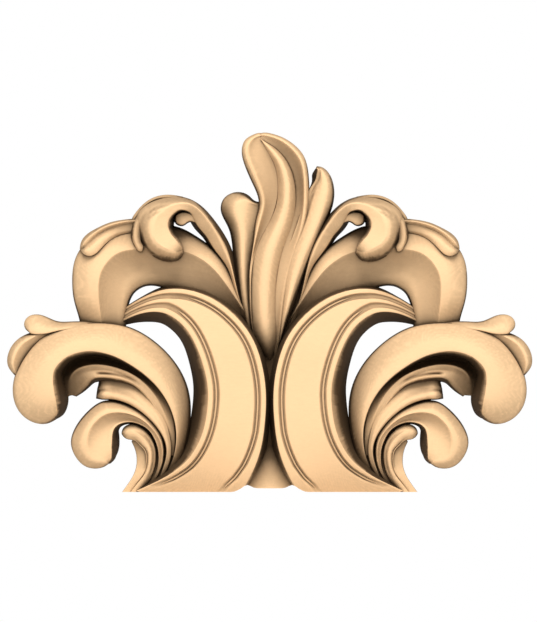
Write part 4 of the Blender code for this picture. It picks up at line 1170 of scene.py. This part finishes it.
def wood_noise(nodes, links):
    """The noise of the wood: fibre across the crest, mixed with fine specks."""
    place = nodes.new("ShaderNodeTexCoord")
    along = nodes.new("ShaderNodeMapping")
    along.inputs["Scale"].default_value = FIBRE_STRETCH
    links.new(place.outputs["Object"], along.inputs["Vector"])
    fibre = nodes.new("ShaderNodeTexNoise")
    fibre.inputs["Scale"].default_value = FIBRE_SCALE
    fibre.inputs["Detail"].default_value = FIBRE_DETAIL
    fibre.inputs["Roughness"].default_value = FIBRE_ROUGHNESS
    links.new(along.outputs["Vector"], fibre.inputs["Vector"])
    speck = nodes.new("ShaderNodeTexNoise")
    speck.inputs["Scale"].default_value = SPECK_SCALE
    speck.inputs["Detail"].default_value = SPECK_DETAIL
    links.new(place.outputs["Object"], speck.inputs["Vector"])
    both = nodes.new("ShaderNodeMix")
    both.data_type = "FLOAT"
    both.inputs["Factor"].default_value = SPECK_SHARE
    links.new(fibre.outputs["Fac"], both.inputs["A"])
    links.new(speck.outputs["Fac"], both.inputs["B"])
    return both.outputs["Result"]


def recess_shading(nodes, links, finish):
    """The colour of the wood by how open the place is: painted shade, from the dark painted shade colour
    in the deepest recesses to the open wood colour.
    """
    painted_shade_openness = nodes.new("ShaderNodeAttribute")
    painted_shade_openness.attribute_name = "painted_shade_openness"
    ramp = nodes.new("ShaderNodeValToRGB")
    stops = ramp.color_ramp.elements
    while len(stops) < len(PAINTED_SHADE_RAMP):
        stops.new(1.0)
    for stop, (place, share) in zip(stops, PAINTED_SHADE_RAMP):
        stop.position = place
        stop.color = [low + (high - low) * share
                      for low, high in zip(finish.painted_shade_color, finish.wood_color)]
    links.new(painted_shade_openness.outputs["Fac"], ramp.inputs["Fac"])
    return ramp.outputs["Color"]


def sanded_wood(finish):
    """Fine sanded pale wood with a faint fibre, and painted shade that darkens the recesses and shut-in
    walls.
    """
    material = bpy.data.materials.new("sanded_wood")
    material.use_nodes = True
    nodes = material.node_tree.nodes
    links = material.node_tree.links
    shader = nodes["Principled BSDF"]
    shader.inputs["Roughness"].default_value = finish.roughness
    shader.inputs["Specular IOR Level"].default_value = finish.gloss

    noise = wood_noise(nodes, links)
    shade = nodes.new("ShaderNodeMapRange")
    shade.inputs["From Min"].default_value = NOISE_RANGE[0]
    shade.inputs["From Max"].default_value = NOISE_RANGE[1]
    shade.inputs["To Min"].default_value = 1.0 - finish.fibre_strength
    shade.inputs["To Max"].default_value = 1.0 + finish.fibre_strength
    links.new(noise, shade.inputs["Value"])
    tint = nodes.new("ShaderNodeVectorMath")
    tint.operation = "SCALE"
    # The painted shade of the recesses, scaled by the fibre's colour.
    links.new(recess_shading(nodes, links, finish), tint.inputs["Vector"])
    links.new(shade.outputs["Result"], tint.inputs["Scale"])
    links.new(tint.outputs["Vector"], shader.inputs["Base Color"])

    bump = nodes.new("ShaderNodeBump")
    bump.inputs["Strength"].default_value = finish.fibre_bump
    bump.inputs["Distance"].default_value = FIBRE_DEPTH
    links.new(noise, bump.inputs["Height"])
    links.new(bump.outputs["Normal"], shader.inputs["Normal"])
    return material


def floor_object(stage):
    """A plain pale floor just under the foot."""
    mesh = bmesh.new()
    bmesh.ops.create_grid(mesh, x_segments=1, y_segments=1, size=stage.floor_size / 2.0)
    bmesh.ops.translate(mesh, verts=mesh.verts, vec=(0.0, 0.0, CAD_BOX[0][2] - FLOOR_GAP))
    floor = new_object("floor", mesh)
    material = bpy.data.materials.new("pale_floor")
    material.use_nodes = True
    nodes = material.node_tree.nodes
    links = material.node_tree.links
    shader = nodes["Principled BSDF"]
    shader.inputs["Roughness"].default_value = FLOOR_ROUGHNESS
    place = nodes.new("ShaderNodeTexCoord")
    cloud = nodes.new("ShaderNodeTexNoise")
    cloud.inputs["Scale"].default_value = FLOOR_CLOUD_SCALE
    links.new(place.outputs["Object"], cloud.inputs["Vector"])
    tone = nodes.new("ShaderNodeMix")
    tone.data_type = "RGBA"
    tone.inputs["A"].default_value = [value * FLOOR_CLOUD_SHADE for value in stage.floor_color]
    tone.inputs["B"].default_value = stage.floor_color
    links.new(cloud.outputs["Fac"], tone.inputs["Factor"])
    links.new(tone.outputs["Result"], shader.inputs["Base Color"])
    floor.data.materials.append(material)


def camera_object(scene):
    """A level camera square to the front, without perspective."""
    camera = bpy.data.objects.new("camera", bpy.data.cameras.new("camera"))
    scene.collection.objects.link(camera)
    camera.data.type = "ORTHO"
    camera.data.ortho_scale = VIEW_HEIGHT_PX * MM_PER_PX * MM
    middle = to_metres(np.array((VIEW_CENTRE[0], VIEW_CENTRE[1], 0.0)), 1.0)
    camera.location = (middle[0], -VIEW_DISTANCE, middle[2])
    camera.rotation_euler = (math.pi / 2.0, 0.0, 0.0)
    scene.camera = camera


def area_light(name, place, size, power):
    """A round soft light turned to the middle of the crest."""
    light = bpy.data.lights.new(name, "AREA")
    light.shape = "DISK"
    light.size = size
    light.energy = power
    made = bpy.data.objects.new(name, light)
    bpy.context.scene.collection.objects.link(made)
    made.location = place
    aim = mathutils.Vector(LIGHT_AIM) - mathutils.Vector(place)
    made.rotation_euler = aim.to_track_quat("-Z", "Y").to_euler()


def surroundings(scene, strength):
    """Even dim light from all around, seen as white."""
    world = bpy.data.worlds.new("studio")
    scene.world = world
    world.use_nodes = True
    nodes = world.node_tree.nodes
    links = world.node_tree.links
    dim = nodes["Background"]
    dim.inputs["Color"].default_value = (1.0, 1.0, 1.0, 1.0)
    dim.inputs["Strength"].default_value = strength
    white = nodes.new("ShaderNodeBackground")
    white.inputs["Color"].default_value = (1.0, 1.0, 1.0, 1.0)
    path = nodes.new("ShaderNodeLightPath")
    mix = nodes.new("ShaderNodeMixShader")
    links.new(path.outputs["Is Camera Ray"], mix.inputs[0])
    links.new(dim.outputs[0], mix.inputs[1])
    links.new(white.outputs[0], mix.inputs[2])
    links.new(mix.outputs[0], nodes["World Output"].inputs["Surface"])


class CrestSizes(bpy.types.PropertyGroup):
    """Sizes of the fine carving."""
    spacing: bpy.props.FloatProperty(
        name="Point Spacing", description="Distance between points of the carved surface",
        default=0.00125, min=0.0005, max=0.01, precision=4, unit="LENGTH")
    edge_radius: bpy.props.FloatProperty(
        name="Edge Radius", description="Rounding of the carved edges",
        default=0.0009, min=0.0, max=0.003, precision=4, unit="LENGTH")
    bead_radius: bpy.props.FloatProperty(
        name="Bead Radius", description="Half the thickness of the bead in a scroll's groove",
        default=BEAD_RADIUS * MM, min=0.0002, max=0.002, precision=4, unit="LENGTH")


class CrestFinish(bpy.types.PropertyGroup):
    """Finish of the wood, and the colour of its painted shade."""
    wood_color: bpy.props.FloatVectorProperty(
        name="Wood", description="Colour of the open faces", subtype="COLOR", size=4,
        default=(0.80, 0.53, 0.295, 1.0), min=0.0, max=1.0)
    # The darkest colour of the painted shade, in the deepest recesses.
    painted_shade_color: bpy.props.FloatVectorProperty(
        name="Recess", description="Colour of the deepest recesses", subtype="COLOR", size=4,
        default=(0.045, 0.026, 0.0125, 1.0), min=0.0, max=1.0)
    roughness: bpy.props.FloatProperty(
        name="Roughness", description="How matt the wood is", default=0.75, min=0.0, max=1.0,
        subtype="FACTOR")
    gloss: bpy.props.FloatProperty(
        name="Gloss", description="Strength of the wood's sheen", default=0.06, min=0.0, max=1.0,
        subtype="FACTOR")
    fibre_strength: bpy.props.FloatProperty(
        name="Fibre", description="How much the fibre changes the colour", default=0.05,
        min=0.0, max=0.5, subtype="FACTOR")
    fibre_bump: bpy.props.FloatProperty(
        name="Fibre Relief", description="How much the fibre is felt", default=0.15, min=0.0,
        max=1.0, subtype="FACTOR")


class CrestStage(bpy.types.PropertyGroup):
    """The floor and the studio light."""
    floor_color: bpy.props.FloatVectorProperty(
        name="Floor", description="Colour of the floor", subtype="COLOR", size=4,
        default=(0.86, 0.86, 0.85, 1.0), min=0.0, max=1.0)
    floor_size: bpy.props.FloatProperty(
        name="Floor Size", description="Side of the square floor", default=4.0, min=0.5,
        max=20.0, unit="LENGTH")
    key_power: bpy.props.FloatProperty(
        name="Front Light", description="Power of the front light in watts", default=64.0,
        min=0.0, max=500.0)
    side_power: bpy.props.FloatProperty(
        name="Side Lights", description="Power of each side light in watts", default=6.5,
        min=0.0, max=500.0)
    ambient: bpy.props.FloatProperty(
        name="Ambient", description="Strength of the light from all around", default=0.45,
        min=0.0, max=2.0)


class CREST_OT_scroll_beads(bpy.types.Operator):
    """Sweep the thin beads that lie in the scrolls' grooves"""
    bl_idname = "crest.scroll_beads"
    bl_label = "Scroll Beads"

    def execute(self, context):
        sizes = context.scene.crest_sizes
        spacing = sizes.spacing / MM
        radius = sizes.edge_radius / MM
        tree = bead_tree()
        wood = sanded_wood(context.scene.crest_finish)
        for side, flip in (("left", 1.0), ("right", -1.0)):
            for number, line in enumerate(SCROLL["lines"]):
                path = groove_line(SCROLL, line, spacing, radius)
                first = int(len(path) * line["bead"][0])
                last = int(len(path) * line["bead"][1])
                places = to_metres(path[first:last], flip)
                name = "bead_%s_%d" % (side, number)
                bead_object(name, places, tree, sizes.bead_radius, wood)
        return {"FINISHED"}


class CREST_OT_carved_crest(bpy.types.Operator):
    """Join the carved strands and beads into one fine mesh and cut it flat behind and below"""
    bl_idname = "crest.carved_crest"
    bl_label = "Carved Crest"

    def execute(self, context):
        sizes = context.scene.crest_sizes
        spacing = sizes.spacing / MM
        radius = sizes.edge_radius / MM
        solids = [item for item in bpy.data.objects if item.name.startswith("bead_")]
        if not solids:
            raise RuntimeError("the beads are swept before the crest is joined")
        wood = bpy.data.materials["sanded_wood"]
        for number, strand in enumerate(SIDE_STRANDS):
            for mirrored in (False, True):
                overrun = OVERRUN + OVERRUN_STEP * (2 * number + mirrored)
                solids.append(strand_object(strand, mirrored, overrun, spacing, radius))
        for number, strand in enumerate(MIDDLE_STRANDS):
            overrun = MIDDLE_OVERRUN + OVERRUN_STEP * number
            solids.append(strand_object(strand, False, overrun, spacing, radius))
        crest = solids.pop()
        crest.name = PIECE
        boolean_with(crest, solids, "UNION")
        reach = CUTTER_REACH * MM
        behind = block_object((-reach, 0.0, -reach), (reach, reach, reach))
        boolean_with(crest, [behind], "DIFFERENCE")
        boolean_with(crest, [foot_cutter()], "DIFFERENCE")
        finish_mesh(crest.data)
        # How open each place is, which the wood's colour turns into painted shade.
        store_painted_shade(crest.data)
        crest.data.materials.clear()
        crest.data.materials.append(wood)
        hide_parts(NODE)
        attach(crest, "root")
        return {"FINISHED"}


class CREST_OT_stage(bpy.types.Operator):
    """Set up the floor, the studio light and the camera"""
    bl_idname = "crest.stage"
    bl_label = "Stage"

    def execute(self, context):
        stage = context.scene.crest_stage
        floor_object(stage)
        camera_object(context.scene)
        area_light("front_light", FRONT_PLACE, FRONT_SIZE, stage.key_power)
        for name, x in (("left_light", -SIDE_PLACE[0]), ("right_light", SIDE_PLACE[0])):
            area_light(name, (x, SIDE_PLACE[1], SIDE_PLACE[2]), SIDE_SIZE, stage.side_power)
        surroundings(context.scene, stage.ambient)
        context.scene.view_settings.view_transform = "Standard"
        return {"FINISHED"}


class CREST_PT_sidebar(bpy.types.Panel):
    """Lists the crest's sizes, finish and stage, and the steps that build it"""
    bl_idname = "CREST_PT_sidebar"
    bl_label = "Acanthus Crest"
    bl_space_type = "VIEW_3D"
    bl_region_type = "UI"
    bl_category = "Crest"

    def draw(self, context):
        scene = context.scene
        for group in (scene.crest_sizes, scene.crest_finish, scene.crest_stage):
            box = self.layout.box()
            for name in group.__annotations__:
                box.prop(group, name)
        for step in STEPS:
            self.layout.operator(step.bl_idname)


STEPS = (CREST_OT_scroll_beads, CREST_OT_carved_crest, CREST_OT_stage)
CLASSES = (CrestSizes, CrestFinish, CrestStage) + STEPS + (CREST_PT_sidebar,)


def register():
    for item in CLASSES:
        bpy.utils.register_class(item)
    bpy.types.Scene.crest_sizes = bpy.props.PointerProperty(type=CrestSizes)
    bpy.types.Scene.crest_finish = bpy.props.PointerProperty(type=CrestFinish)
    bpy.types.Scene.crest_stage = bpy.props.PointerProperty(type=CrestStage)


def unregister():
    del bpy.types.Scene.crest_stage
    del bpy.types.Scene.crest_finish
    del bpy.types.Scene.crest_sizes
    for item in reversed(CLASSES):
        bpy.utils.unregister_class(item)


def main():
    register()
    bpy.ops.crest.scroll_beads()
    bpy.ops.crest.carved_crest()
    bpy.ops.crest.stage()


if __name__ == "__main__":
    main()
